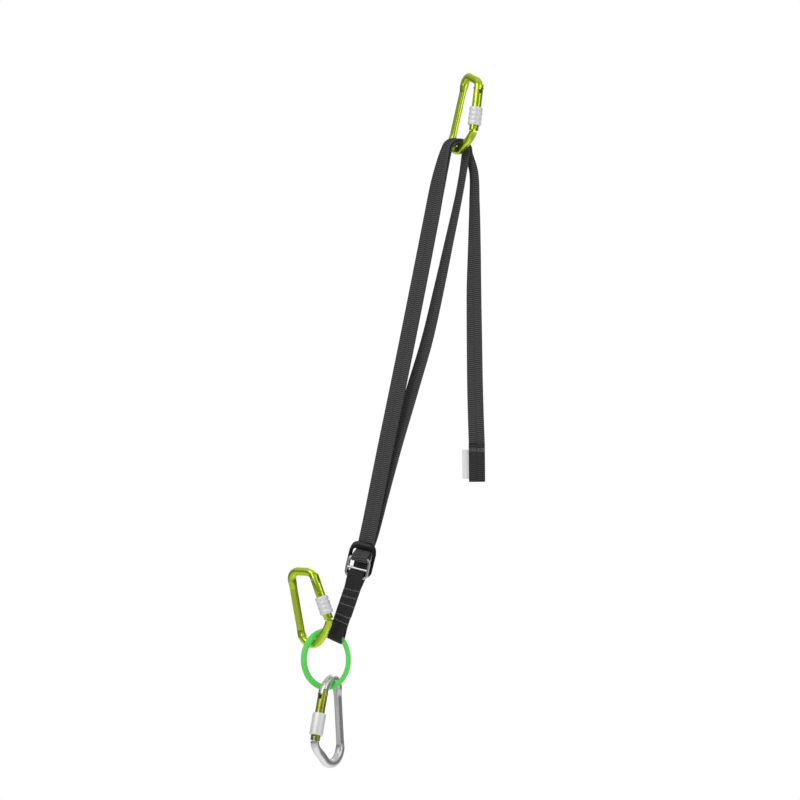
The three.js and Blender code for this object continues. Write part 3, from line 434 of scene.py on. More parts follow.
# An arc: its centre plus the radius times a cosine and a sine.
def arc(centre, radius, start, end, count=120):
    angles = np.linspace(start, end, count)
    return centre + radius * np.stack([np.cos(angles), np.sin(angles)], axis=1)


# Rings round a flat line in the XZ plane, from a size in the plane and one across it. The section is an
# ellipse for a square of 2 and squarer above it. A groove sinks its two faces by the sine's fourth power.
def flatRings(line, inPlane, across, groove=0.0, sides=36, loop=False, square=2.0):
    if loop:
        steps = np.roll(line, -1, axis=0) - np.roll(line, 1, axis=0)
    else:
        steps = np.gradient(line, axis=0)
    way = unit(steps)
    angles = fullTurn * (np.arange(sides) + 0.5) / sides
    sizes = (inPlane, across, groove)
    inPlane, across, groove = (np.broadcast_to(size, len(line))[:, None] for size in sizes)
    out = inPlane * np.sign(np.cos(angles)) * np.abs(np.cos(angles)) ** (2 / square)
    lift = np.sign(np.sin(angles)) * np.abs(np.sin(angles)) ** (2 / square)
    height = (across - groove * np.sin(angles) ** 4) * lift
    return np.stack([line[:, :1] + out * way[:, 1:], height, line[:, 1:] - out * way[:, :1]], axis=2)


print("helpers done")

# The carabiners in their own planes, in millimetres and degrees: x from spine to gate, z from basket to
# crown.
dShape = {
    "length": 102, "bar": 4.9, "spineAcross": 3.7, "groove": 0.8, "basket": 16, "basketX": 2, "limb": 36,
    "noseLean": 26, "crown": 10.5, "crownX": 2.5, "crownAngle": 74, "pivotX": 27.6, "pivotDrop": 18,
    "lean": 6.3, "gateLength": 53, "gateRadius": 5.75, "sleeve": 8.4, "sleeveLength": 22.5, "ribs": 4,
    "ribDepth": 0.8,
}
pearShape = {
    "length": 115.4, "bar": 5.3, "spineAcross": 4.4, "groove": 0.9, "basket": 21.5, "basketX": -1.5,
    "limb": 44, "noseLean": 12, "crown": 12, "crownX": -1.5, "crownAngle": 60, "pivotX": 19,
    "pivotDrop": 23.4, "lean": 15.7, "gateLength": 58.5, "gateRadius": 5.9, "sleeve": 8.35,
    "sleeveLength": 27.7, "ribs": 0, "ribDepth": 0,
}
frameShape = {
    "linePoints": 261, "nosePull": 1 / 3, "crownPull": 0.42, "spineGroove": 1.4, "limbGroove": 0.9,
    "limbFrom": (0.03, 0.09), "limbTo": (0.16, 0.24), "sides": 44, "square": 2.5, "cutSides": 96,
    "tangSides": 48, "tangSoft": 0.25, "leastStep": 1e-6,
}
gateShape = {
    "hinge": 6.3, "tang": 4.2, "tangRadius": 3.3, "cam": 2.2, "fork": 7, "groove": 0.35, "grooveDrop": 18,
    "grooveSteps": 9, "noseSlot": 5.7, "noseHeight": 5.2, "noseNeck": 2.4, "neckShare": 0.45,
    "noseHead": 4.2, "headSoft": 0.5, "shoulder": 0.9, "gap": 0.3, "noseRadius": 4, "noseTaper": 0.12,
    "overrun": 2, "soft": 0.7, "softShare": 0.2, "bore": 2.9, "boreFoot": -34, "boreLength": 27,
    "boreSides": 32, "sides": 72, "crownShares": (1, 0.97, 0.9, 0.75, 0.55, 0.3, 0.01), "crownSunk": 0.35,
}
rivetShape = {"radius": 1.5, "head": 2.2, "rise": 0.5, "gap": 0.1, "steps": 7, "sides": 40}
springShape = {
    "radius": 2.15, "wire": 0.4, "turns": 5, "low": -33.7, "high": -12.9, "travel": 1.3, "steps": 36,
    "sides": 10,
}
sleeveShape = {"start": 6.6, "soft": 1.3, "softSteps": 7, "ribSteps": 16, "ribPower": 0.7, "sides": 72}
carabiners = {
    "upper": {
        "shape": dShape, "place": (-17.241, 2.165, -90.582), "turn": 60, "tilt": 10, "metal": "lime",
        "gateMetal": "lime", "slot": "green_metal", "gateSlot": "green_metal", "sleeveLook": "sleeve",
    },
    "lower": {
        "shape": dShape, "place": (-191.822, 3.786, -700.569), "turn": 37, "tilt": -14, "metal": "lime",
        "gateMetal": "lime", "slot": "green_metal", "gateSlot": "green_metal", "sleeveLook": "sleeve",
    },
    "belay": {
        "shape": pearShape, "place": (-172.621, 2.339, -848.68), "turn": 122, "tilt": 1.2, "metal": "silver",
        "gateMetal": "olive", "slot": "silver_metal", "gateSlot": "olive_metal", "sleeveLook": "plainSleeve",
    },
}


# The bar's centreline: from the nose by a Bezier curve to the basket's arc, straight up the spine, over the
# crown's arc and by a second Bezier curve to the gate's pivot.
def planeLine(shape):
    bar, basketRadius, crownRadius = shape["bar"], shape["basket"], shape["crown"]
    basket = np.array([shape["basketX"], bar + basketRadius])
    crown = np.array([shape["crownX"], shape["length"] - bar - crownRadius])
    pivot = np.array([shape["pivotX"], shape["length"] - shape["pivotDrop"]])
    lean, noseLean = math.radians(shape["lean"]), math.radians(shape["noseLean"])
    down = np.array([math.sin(lean), -math.cos(lean)])
    nose = pivot + down * (shape["gateLength"] + gateShape["shoulder"])
    rise = crown - basket
    tangent = math.asin((basketRadius - crownRadius) / np.linalg.norm(rise))
    spine = math.atan2(rise[1], rise[0]) + math.pi / 2 - tangent
    limb, crownEnd = math.radians(shape["limb"] - 90), math.radians(shape["crownAngle"])
    noseWay = np.array([math.sin(lean - noseLean), -math.cos(lean - noseLean)])
    limbStart = basket + basketRadius * np.array([math.cos(limb), math.sin(limb)])
    noseReach = np.linalg.norm(nose - limbStart) * frameShape["nosePull"]
    arrive = limbStart + noseReach * np.array([-math.sin(limb), math.cos(limb)])
    crownStop = crown + crownRadius * np.array([math.cos(crownEnd), math.sin(crownEnd)])
    crownReach = np.linalg.norm(pivot - crownStop) * frameShape["crownPull"]
    leave = crownStop + crownReach * np.array([math.sin(crownEnd), -math.cos(crownEnd)])
    points = np.concatenate([
        bezier(nose, nose + noseReach * noseWay, arrive, limbStart),
        arc(basket, basketRadius, limb, spine - fullTurn),
        arc(crown, crownRadius, spine, crownEnd),
        bezier(crownStop, leave, pivot - down * crownReach, pivot),
    ])
    steps = np.linalg.norm(np.diff(points, axis=0), axis=1)
    kept = np.concatenate([[True], steps > frameShape["leastStep"]])
    return evenly(points[kept], frameShape["linePoints"]), basket, crown, pivot, lean


# The gate's space, with its pivot at the origin, to the carabiner's plane: a turn by the gate's lean.
def gateSpace(points, pivot, lean):
    c, s = math.cos(lean), math.sin(lean)
    axes = np.array([[c, 0, -s], [0, 1, 0], [s, 0, c]])
    return np.asarray(points) @ axes.T + np.array([pivot[0], 0, pivot[1]])


# The bar with its tang for the gate's fork and a keyed nose: grooved along the spine and the limb, narrower
# at the nose, and cut flat where the gate turns. Smooth steps lead from one size to the next.
def frameMesh(shape):
    line, basket, crown, pivot, lean = planeLine(shape)
    bar, tang, gap, overrun = shape["bar"], gateShape["tang"], gateShape["gap"], gateShape["overrun"]
    onSpine = smoothStep(line[:, 1], basket[1] - bar, basket[1] + bar)
    onSpine = onSpine * (1 - smoothStep(line[:, 1], crown[1] - 2 * bar, crown[1]))
    onSpine = onSpine * (1 - smoothStep(line[:, 0], basket[0] - bar, basket[0]))
    share = np.linspace(0, 1, len(line))
    onLimb = smoothStep(share, *frameShape["limbFrom"]) * (1 - smoothStep(share, *frameShape["limbTo"]))
    taper = smoothStep(share, 0, gateShape["noseTaper"])
    inPlane = gateShape["noseRadius"] + (bar - gateShape["noseRadius"]) * taper
    across = bar + (shape["spineAcross"] - bar) * onSpine
    groove = shape["groove"] * (frameShape["spineGroove"] * onSpine + frameShape["limbGroove"] * onLimb)
    rings = flatRings(line, inPlane, across, groove, frameShape["sides"], square=frameShape["square"])
    clear = gateShape["hinge"] + 2 * gap
    shoulder = -shape["gateLength"] - gateShape["shoulder"]
    aside, cutSides = bar + tang / 2, frameShape["cutSides"]
    cutters = [barrel(clear, 2 * bar, (pivot[0], y, pivot[1]), 1, cutSides) for y in (-aside, aside)]
    below = block(2 * clear, tang + 2 * overrun, clear, (0, 0, -clear / 2 - gateShape["tangRadius"] / 2))
    above = block(2 * clear + 2 * overrun, 2 * clear, 2 * overrun, (0, 0, shoulder + overrun))
    cutters += [(gateSpace(points, pivot, lean), faces) for points, faces in (below, above)]
    cutBar = carved(*gridOf(rings)[:2], cutters)
    neck, head, headSoft = gateShape["noseNeck"], gateShape["noseHead"], gateShape["headSoft"]
    top = gateShape["shoulder"] + gateShape["noseHeight"]
    neckEnd = gateShape["shoulder"] + gateShape["noseHeight"] * gateShape["neckShare"]
    right = [(neck, -overrun), (neck, neckEnd), (head, neckEnd + head - neck)]
    right += [(head, top - headSoft), (head - headSoft, top)]
    nose = prism(right + [(-x, z) for x, z in reversed(right)], tang, (0, 0, shoulder))
    tangRadius, tangSides, tangSoft = gateShape["tangRadius"], frameShape["tangSides"], frameShape["tangSoft"]
    tangParts = [barrel(tangRadius, tang, (x, 0, 0), 1, tangSides, tangSoft) for x in (0, -gateShape["cam"])]
    extras = [(gateSpace(points, pivot, lean), faces) for points, faces in (nose, *tangParts)]
    return joined(cutBar, *extras), pivot, lean


# The gate: a rod spun from an outline with one round groove. Its top is the hinge's own cylinder, at the root
# of the hinge's radius squared less x squared. The fork, the nose's slot and the spring's bore are cut out.
def gateMesh(shape):
    radius, length, hinge = shape["gateRadius"], shape["gateLength"], gateShape["hinge"]
    groove, drop, soft, sides = (gateShape[key] for key in ("groove", "grooveDrop", "soft", "sides"))
    softer = gateShape["softShare"] * soft
    outline = [(tiny, -length), (radius - soft, -length), (radius - softer, softer - length)]
    outline += [(radius, soft - length)]
    bottoms = np.linspace(-groove, groove, gateShape["grooveSteps"])
    outline += [(radius - math.sqrt(max(groove ** 2 - z ** 2, 0)), z - drop) for z in bottoms]
    share = np.array(gateShape["crownShares"])[:, None]
    angles = np.linspace(0, fullTurn, sides, endpoint=False)
    x, y = share * radius * np.cos(angles), share * radius * np.sin(angles)
    top = np.stack([x, y, np.sqrt(hinge ** 2 - x ** 2) - gateShape["crownSunk"] * (share == 1)], axis=2)
    rod = gridOf(np.concatenate([spun(outline, sides), top]))[:2]
    overrun = gateShape["overrun"]
    slot, wide = gateShape["tang"] + 2 * gateShape["gap"], 2 * radius + overrun
    fork, noseSlot, boreLength = gateShape["fork"], gateShape["noseSlot"], gateShape["boreLength"] + overrun
    forkCut = block(wide, slot, hinge + overrun + fork, (0, 0, (hinge + overrun - fork) / 2))
    noseCut = block(wide, slot, noseSlot + overrun, (0, 0, (noseSlot - overrun) / 2 - length))
    boreCut = barrel(gateShape["bore"], boreLength, (0, 0, gateShape["boreFoot"] + boreLength / 2), 2,
                     gateShape["boreSides"])
    return carved(*rod, [forkCut, noseCut, boreCut])


# The sleeve's outline from its foot: ribs are a power of a sine's size, and a plain sleeve has round ends.
def sleeveOutline(shape):
    inner, outer, length = shape["gateRadius"] + gateShape["gap"], shape["sleeve"], shape["sleeveLength"]
    low = sleeveShape["start"] - shape["gateLength"]
    if shape["ribs"]:
        place = np.linspace(0, 1, shape["ribs"] * sleeveShape["ribSteps"] + 1)
        wave = np.abs(np.sin(math.pi * shape["ribs"] * place)) ** sleeveShape["ribPower"]
        skin = np.stack([outer - shape["ribDepth"] * (1 - wave), low + length * place], axis=1)
    else:
        soft = sleeveShape["soft"]
        turns = np.linspace(0, math.pi / 2, sleeveShape["softSteps"])
        less, top = outer - soft, low + length - soft
        foot = np.stack([less + soft * np.sin(turns), low + soft - soft * np.cos(turns)], axis=1)
        head = np.stack([less + soft * np.cos(turns), top + soft * np.sin(turns)], axis=1)
        skin = np.concatenate([foot, head])
    return np.concatenate([[[inner, low]], skin, [[inner, low + length]]])


# The rivet: a rod with a low dome at each end, along Y.
def rivetMesh(shape):
    half, radius, head = shape["gateRadius"] + rivetShape["gap"], rivetShape["radius"], rivetShape["head"]
    turns = np.linspace(0, math.pi / 2, rivetShape["steps"])
    dome = [(head * math.cos(a) + tiny, half + rivetShape["rise"] * math.sin(a)) for a in turns]
    outline = [(r, -z) for r, z in reversed(dome)] + [(radius, -half), (radius, half)] + dome
    points, faces, _ = gridOf(spun(outline, rivetShape["sides"]))
    return np.roll(points, -1, axis=1), faces


# The gate's return spring in the bore, below the plunger: a round wire along a helix of even steps in angle
# and height.
def coilMesh():
    radius, wire, turns, sides = (springShape[key] for key in ("radius", "wire", "turns", "sides"))
    angles = np.linspace(0, fullTurn * turns, springShape["steps"] * turns + 1)
    height = np.linspace(springShape["low"] + wire, springShape["high"] - wire, len(angles))
    centre = np.stack([radius * np.cos(angles), radius * np.sin(angles), height], axis=1)
    around = fullTurn * np.arange(sides) / sides
    rings = np.repeat(centre[:, None, :], sides, axis=1)
    rings[:, :, :2] += wire * np.cos(around)[None, :, None] * (centre[:, None, :2] / radius)
    rings[:, :, 2] -= wire * np.sin(around)
    return gridOf(rings)[:2]


# The spring as a finer piece that rides on the gate, in place of the spring's solid.
def addSpring(name, toWorld):
    low, high = springShape["low"], springShape["high"]
    points, faces = coilMesh()
    piece = addMesh(name + "_spring_look", toWorld(points), faces, "steel", name + "_gate",
                    [name + "_gate_spring"])
    anchor, far = toWorld([(0, 0, low), (0, 0, 0)])
    name + "_gate_hinge"
    tuple(unit(far - anchor))
    tuple(anchor * mm)
    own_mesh(piece)


# The sleeve: its outline spun round the gate, closed from its head through its bore to its foot.
def addSleeve(name, kind, toWorld):
    outline = sleeveOutline(kind["shape"])
    sides = sleeveShape["sides"]
    alongs = np.append(lengthsOf(outline), lengthsOf(outline)[-1] + 1)
    arounds = np.linspace(0, fullTurn * kind["shape"]["sleeve"], sides + 1)
    points, faces, uv = gridOf(spun(outline, sides), alongs, arounds, closedRows=True)
    addMesh(name + "_sleeve_look", toWorld(points), faces, kind["sleeveLook"], name + "_sleeve",
            [name + "_lock_sleeve"], uv, sharp=50)


# A carabiner's frame, gate, rivet, spring and sleeve, turned and set in its place.
def addCarabiner(name, kind):
    shape = kind["shape"]
    (points, faces), pivot, lean = frameMesh(shape)
    axes, place = turned(kind["turn"], kind["tilt"]), np.array(kind["place"])

    # the gate's space to the world, in millimetres
    def toWorld(local):
        return gateSpace(local, pivot, lean) @ axes.T + place

    addMesh(name + "_frame_look", points @ axes.T + place, faces, kind["metal"], name + "_carabiner",
            [name + "_frame"], sharp=35)
    points, faces = gateMesh(shape)
    addMesh(name + "_gate_look", toWorld(points), faces, kind["gateMetal"], name + "_gate",
            [name + "_gate"], sharp=35)
    points, faces = rivetMesh(shape)
    addMesh(name + "_rivet_look", toWorld(points), faces, "steel", name + "_gate",
            [name + "_gate_rivet"])
    addSpring(name, toWorld)
    addSleeve(name, kind, toWorld)


for name, kind in carabiners.items():
    addCarabiner(name, kind)
print("carabiners done")

ringShape = {
    "centre": (-176.976, 0, -714.448), "halfWidth": 27.5, "halfHeight": 34.9, "twist": 6, "twistFrom": 30,
    "thin": 3.1, "thick": 3.8, "blend": 0.5, "rows": 300, "sides": 40,
}


# The ring: an oval whose points lie off its plane by a sine of twice their angle, thicker on its left.
def ringMesh():
    rows, sides = ringShape["rows"], ringShape["sides"]
    degrees = np.linspace(0, 360, rows, endpoint=False)
    angle, twist = np.radians(degrees), np.radians(2 * (degrees - ringShape["twistFrom"]))
    wide, high, lift = ringShape["halfWidth"], ringShape["halfHeight"], ringShape["twist"]
    oval = np.stack([wide * np.cos(angle), lift * np.sin(twist), high * np.sin(angle)], axis=1)
    line = oval + np.array(ringShape["centre"])
    way = unit(np.stack([-wide * np.sin(angle), 2 * lift * np.cos(twist), high * np.cos(angle)], axis=1))
    out = unit(np.cross(np.array([0.0, 1.0, 0.0]), way))
    out = out * np.sign(np.sum(out * oval, axis=1))[:, None]
    side = np.cross(way, out)
    onLeft = smoothStep(-np.cos(angle), -ringShape["blend"], ringShape["blend"])
    radius = (ringShape["thin"] + (ringShape["thick"] - ringShape["thin"]) * onLeft)[:, None, None]
    around = circled(out, side, sides)
    cell = 2 * braid["along"]
    total = round(lengthsOf(np.concatenate([line, line[:1]]))[-1] / cell)
    alongs = np.linspace(0, total * cell, rows + 1)
    arounds = np.linspace(0, braid["cells"] * braid["around"], sides + 1)
    return gridOf(line[:, None, :] + radius * around, alongs, arounds, closedRows=True)


points, faces, uv = ringMesh()
addMesh("ring_look", points, faces, "ring", "ring", ["ring_sheath"], uv)
print("ring done")

# The strap's route in millimetres: a place, the direction of the width, and the angle over which it curls.
route = {
    "fixed_strand": [
        (-137.1, 8.25, -611.42, 0.9299, -0.2924, -0.2232, 0),
        (-128.62, 11.19, -579.93, 0.9299, -0.2924, -0.2232, 0),
        (-121.52, 11.19, -559.46, 0.9397, -0.342, 0, 0.017),
        (-108.68, 10.6, -512.53, 0.8829, -0.4695, 0, 0.017),
        (-92.13, 9.85, -453.25, 0.829, -0.5592, 0, 0.017),
        (-69.9, 8.91, -379.15, 0.766, -0.6428, 0, 0.035),
        (-52.61, 8.16, -319.87, 0.7071, -0.7071, 0, 0.175),
        (-39.03, 7.41, -260.59, 0.6293, -0.7771, 0, 0.314),
        (-26.68, 6.66, -201.31, 0.515, -0.8572, 0, 0.524),
        (-15.31, 5.94, -144.5, 0.4226, -0.9063, 0, 0.96),
        (-10.13, 5.53, -112.38, 0.4067, -0.9135, 0, 1.396),
    ],
    "inner_bend": [
        (-6.71, 5.53, -87.46, 0.4924, -0.866, -0.0868, 1.458),
        (-6.9, 5.14, -84.67, 0.4924, -0.866, -0.0868, 1.515),
        (-8.38, 4.04, -82.07, 0.4924, -0.866, -0.0868, 1.645),
        (-10.94, 2.38, -80.06, 0.4924, -0.866, -0.0868, 1.771),
        (-14.17, 0.43, -78.94, 0.4924, -0.866, -0.0868, 1.821),
        (-17.6, -1.52, -78.88, 0.4924, -0.866, -0.0868, 1.771),
        (-20.69, -3.17, -79.9, 0.4924, -0.866, -0.0868, 1.645),
        (-22.97, -4.28, -81.84, 0.4924, -0.866, -0.0868, 1.515),
        (-24.1, -4.67, -84.4, 0.4924, -0.866, -0.0868, 1.458),
    ],
    "return_strand": [
        (-28.89, -4.25, -98.03, 0.6947, -0.7193, 0, 1.346),
        (-37.14, -2.95, -127.45, 0.866, -0.5, 0, 1.043),
        (-46.33, -1.58, -171.81, 0.9205, -0.3907, 0, 0.636),
        (-61.16, 0.48, -245.88, 0.9397, -0.342, 0, 0.269),
        (-76.03, 2.51, -319.98, 0.9455, -0.3256, 0, 0.035),
        (-91.14, 4.54, -394.07, 0.9511, -0.309, 0, 0.017),
        (-106.38, 6.57, -468.16, 0.9563, -0.2924, 0, 0.017),
        (-120.71, 8.51, -539.79, 0.9563, -0.2924, 0, 0.017),
        (-127.92, 8.51, -573.52, 0.9299, -0.2924, -0.2232, 0),
        (-129.18, 8.51, -578.77, 0.9299, -0.2924, -0.2232, 0),
    ],
    "buckle_wrap": [
        (-135.26, -1.11, -591.48, 0.9299, -0.2924, -0.2232, 0),
        (-135.8, -2.16, -592.36, 0.9299, -0.2924, -0.2232, 0),
        (-136.3, -3.51, -592.68, 0.9299, -0.2924, -0.2232, 0),
        (-136.67, -4.91, -592.39, 0.9299, -0.2924, -0.2232, 0),
        (-136.84, -6.1, -591.53, 0.9299, -0.2924, -0.2232, 0),
        (-136.78, -6.86, -590.27, 0.9299, -0.2924, -0.2232, 0),
        (-136.5, -7.06, -588.84, 0.9299, -0.2924, -0.2232, 0),
        (-136.05, -6.67, -587.5, 0.9299, -0.2924, -0.2232, 0),
        (-135.51, -5.74, -586.48, 0.9299, -0.2924, -0.2232, 0),
    ],
    "load_strand": [
        (-129.98, 5.83, -578.58, 0.9299, -0.2924, -0.2232, 0),
        (-128.72, 5.83, -573.32, 0.9299, -0.2924, -0.2232, 0),
        (-121.52, 5.83, -539.7, 0.9563, -0.2924, 0, -0.017),
        (-107.2, 3.89, -468.07, 0.9563, -0.2924, 0, -0.017),
        (-92.01, 1.88, -393.97, 0.9511, -0.309, 0, -0.017),
        (-76.94, -0.13, -319.87, 0.9455, -0.3256, 0, -0.035),
        (-62.12, -2.14, -245.77, 0.9397, -0.342, 0, -0.279),
        (-47.42, -4.16, -171.67, 0.9205, -0.3907, 0, -0.698),
        (-38.53, -5.36, -127.21, 0.866, -0.5, 0, -1.222),
        (-30.88, -6.17, -97.57, 0.6947, -0.7193, 0, -1.658),
    ],
    "outer_bend": [
        (-26.66, -6.17, -83.95, 0.4924, -0.866, -0.0868, -1.833),
        (-25.15, -5.66, -80.37, 0.4924, -0.866, -0.0868, -1.922),
        (-22.15, -4.23, -77.63, 0.4924, -0.866, -0.0868, -2.138),
        (-18.13, -2.09, -76.16, 0.4924, -0.866, -0.0868, -2.354),
        (-13.69, 0.43, -76.18, 0.4924, -0.866, -0.0868, -2.443),
        (-9.51, 2.96, -77.68, 0.4924, -0.866, -0.0868, -2.354),
        (-6.23, 5.1, -80.44, 0.4924, -0.866, -0.0868, -2.138),
        (-4.35, 6.53, -84.03, 0.4924, -0.866, -0.0868, -1.922),
        (-4.15, 7.03, -87.92, 0.4924, -0.866, -0.0868, -1.833),
    ],
    "tail_strand": [
        (2.96, 7.03, -112.38, 0.5299, -0.848, 0, -1.484),
        (4.69, 7.03, -149.44, 0.6157, -0.788, 0, -1.047),
        (5.43, 7.03, -201.31, 0.7547, -0.6561, 0, -0.611),
        (5.43, 7.03, -258.11, 0.8988, -0.4384, 0, -0.262),
        (6.18, 7.03, -319.87, 0.9511, -0.309, 0, -0.07),
        (7.04, 7.03, -379.15, 0.9781, -0.2079, 0, -0.017),
        (8.27, 7.03, -423.61, 0.9903, -0.1392, 0, -0.017),
        (9.14, 7.03, -447.81, 0.9961, -0.0872, 0.0104, 0),
    ],
}

webbing = {
    "width": 20, "thickness": 2.2, "softEdge": 0.85, "flatCells": 26, "edgeCells": 7, "leastCurl": 0.017,
    "step": 2.2, "wrapStep": 0.8, "leastRows": 8, "fineSteps": 40,
}
half = webbing["thickness"] / 2


# The webbing's section as places across and through it: a rectangle whose edges are half ellipses. Its
# second half is the first with both signs changed.
def sectionOf():
    edge = webbing["softEdge"]
    flat = webbing["width"] / 2 - edge
    across = np.linspace(-flat, flat, webbing["flatCells"])
    turns = np.linspace(-math.pi / 2, math.pi / 2, webbing["edgeCells"])[1:-1]
    face = np.stack([across, np.full(len(across), -half)], axis=1)
    side = np.stack([flat + edge * np.cos(turns), half * np.sin(turns)], axis=1)
    return np.concatenate([face, side, -face, -side])


section = sectionOf()
sectionAround = np.append(section[:, 0], section[0, 0])


# A curve through points, cubic from each to the next, at places counted in points. The direction at a point
# weighs its neighbours by the square roots of their distances. Gives places in space and directions.
def curveThrough(points, places):
    index = np.minimum(places.astype(int), len(points) - 2)
    share = (places - index)[:, None]
    padded = np.concatenate([[2 * points[0] - points[1]], points, [2 * points[-1] - points[-2]]])
    a, b, c, d = (padded[index + step] for step in range(4))
    steps = [np.sqrt(np.linalg.norm(q - p, axis=1, keepdims=True)) for p, q in ((a, b), (b, c), (c, d))]
    first, second, third = steps
    leave = ((b - a) / first - (c - a) / (first + second) + (c - b) / second) * second
    arrive = ((c - b) / second - (d - b) / (second + third) + (d - c) / third) * second
    squared, cubed = 3 * (c - b) - 2 * leave - arrive, 2 * (b - c) + leave + arrive
    place = b + leave * share + squared * share ** 2 + cubed * share ** 3
    return place, unit(leave + 2 * squared * share + 3 * cubed * share ** 2)


# All the route's stations lie on one curve, so the pieces' ends meet in one direction.
stations = np.array([station for part in route.values() for station in part])
lastStation = len(stations) - 1
finePlaces = np.linspace(0, lastStation, webbing["fineSteps"] * lastStation + 1)
fineLengths = lengthsOf(curveThrough(stations[:, :3], finePlaces)[0])


# A stretch of the strap from one station to another, in even steps along the curve. Its section stands
# square to the curve and is bent to an arc whose radius is the width divided by the curl.
def strapMesh(start, end, step):
    low, high = np.interp([start, end], finePlaces, fineLengths)
    count = max(webbing["leastRows"], int((high - low) / step))
    alongs = np.linspace(low, high, count + 1)
    places = np.interp(alongs, fineLengths, finePlaces)
    centre, way = curveThrough(stations[:, :3], places)
    index = np.minimum(places.astype(int), lastStation - 1)
    share = (places - index)[:, None]
    both = stations[index, 3:] * (1 - share) + stations[index + 1, 3:] * share
    wide, curl = both[:, :3], both[:, 3:]
    across = unit(wide - way * np.sum(wide * way, axis=1, keepdims=True))
    out = np.cross(way, across)
    curl = np.where(np.abs(curl) < webbing["leastCurl"], webbing["leastCurl"], curl)
    bend = webbing["width"] / curl
    angle = section[:, 0] / webbing["width"] * curl
    aside = (bend - section[:, 1]) * np.sin(angle)
    deep = bend - (bend - section[:, 1]) * np.cos(angle)
    rings = centre[:, None, :] + across[:, None, :] * aside[:, :, None] + out[:, None, :] * deep[:, :, None]
    return gridOf(rings, alongs, sectionAround)


# A point in millimetres as a tuple in metres.
def metres(point):
    return tuple(float(value) * mm for value in point)


# A station's place in metres.
def placeAt(index):
    return metres(stations[index, :3])


# The upper carabiner's bar under the bends, and places above and below it along its upward direction.
saddle = {"place": (-15.406, 0.433, -85.93), "up": (0.17365, 0.0, 0.98481), "above": 8, "below": 4}
saddlePlace, saddleUp = np.array(saddle["place"]), np.array(saddle["up"])
archTop = metres(saddlePlace + saddle["above"] * saddleUp)
archFoot = metres(saddlePlace - saddle["below"] * saddleUp)

# Each strap piece: its node, its first and last station, its upper and lower body, and where it leaves the
# one and reaches the other.
starts = np.cumsum([0] + [len(part) for part in route.values()])
firstOf = {name: int(starts[i]) for i, name in enumerate(route)}
lastOf = {name: int(starts[i + 1]) - 1 for i, name in enumerate(route)}
crownMid = (firstOf["outer_bend"] + lastOf["outer_bend"]) / 2  # from here the outer bend goes to the tail
strapPieces = [
    ("fixed_strand", firstOf["fixed_strand"], firstOf["inner_bend"], "arm", "adjuster",
     placeAt(lastOf["fixed_strand"]), placeAt(firstOf["fixed_strand"] + 2)),
    ("inner_bend", firstOf["inner_bend"], lastOf["inner_bend"], "upper_carabiner", "arm", archTop, archFoot),
    ("return_strand", lastOf["inner_bend"], firstOf["buckle_wrap"], "arm", "adjuster",
     placeAt(firstOf["return_strand"]), placeAt(lastOf["return_strand"] - 1)),
    ("load_strand", lastOf["buckle_wrap"], firstOf["outer_bend"], "arm", "adjuster",
     placeAt(lastOf["load_strand"]), placeAt(firstOf["load_strand"] + 1)),
    ("outer_bend", firstOf["outer_bend"], crownMid, "upper_carabiner", "arm", archTop, archFoot),
    ("outer_bend", crownMid, lastOf["outer_bend"], "upper_carabiner", "tail", archTop, archFoot),
    ("tail_strand", lastOf["outer_bend"], lastOf["tail_strand"], "tail", "tail_end",
     placeAt(firstOf["tail_strand"]), placeAt(lastOf["tail_strand"])),
]
for count, (name, start, end, upperBody, lowerBody, blendStart, blendEnd) in enumerate(strapPieces):
    points, faces, uv = strapMesh(start, end, webbing["step"])
    addMesh("strap_%s_look%d" % (name, count), points, faces, "strap",
            (upperBody, lowerBody, blendStart, blendEnd), ["strap_" + name], uv)
points, faces, uv = strapMesh(firstOf["buckle_wrap"], lastOf["buckle_wrap"], webbing["wrapStep"])
addMesh("strap_wrap_look", points, faces, "strap", "adjuster", ["strap_buckle_wrap"], uv)
print("strap done")

# The buckle in its own axes: x across, y through and z along, from the middle between the foot bars of its
# two frames.
buckle = {
    "origin": (-139.555, 0, -610.831), "x": (0.92988, -0.29237, -0.22324), "y": (0.28429, 0.9563, -0.06825),
    "z": (0.23345, 0, 0.97237), "bar": 1.9, "step": 2.4, "rise": 1.5, "frontWidth": 31, "frontLength": 27.2,
    "frontCorner": 5, "frontLean": 1.8, "crossbarRise": 10.1, "crossbar": 1.9, "rearWidth": 35,
    "rearLength": 42.6, "rearCorner": 6, "rearTopCorner": 8.5, "rearRail": 2.4, "rearDepth": 2,
    "rearTopBar": 4.5, "rearLean": -0.4, "frontSides": 28, "frontCells": 220, "crossbarSides": 40,
    "rearSides": 36, "rearCells": 260, "cornerCells": 40,
}
buckleAxes = np.array([buckle["x"], buckle["y"], buckle["z"]])


# From the buckle's axes to space: the origin plus each coordinate times its axis.
def atBuckle(points):
    return np.array(buckle["origin"]) + np.asarray(points) @ buckleAxes


# A loop from the middle of its foot: four quarter arcs at the corners of a rectangle, in even steps.
def roundedLoop(width, length, corner, topCorner, count):
    low, high, quarter = width / 2 - corner, width / 2 - topCorner, math.pi / 2
    corners = [(low, corner, corner), (high, length - topCorner, topCorner),
               (-high, length - topCorner, topCorner), (-low, corner, corner)]
    parts = [arc(np.array([x, z]), radius, (turn - 1) * quarter, turn * quarter, buckle["cornerCells"])
             for turn, (x, z, radius) in enumerate(corners)]
    foot = np.zeros((1, 2))
    return evenly(np.concatenate([foot, *parts, foot]), count + 1)[:-1]


# Leans points round X by the angle whose tangent is the lean divided by the length, then moves them.
def leaned(points, lean, length, step, rise):
    angle = math.atan2(lean, length)
    c, s = math.cos(angle), math.sin(angle)
    x, y, z = np.moveaxis(np.asarray(points), -1, 0)
    return np.stack([x, y * c - z * s + step, y * s + z * c + rise], axis=-1)


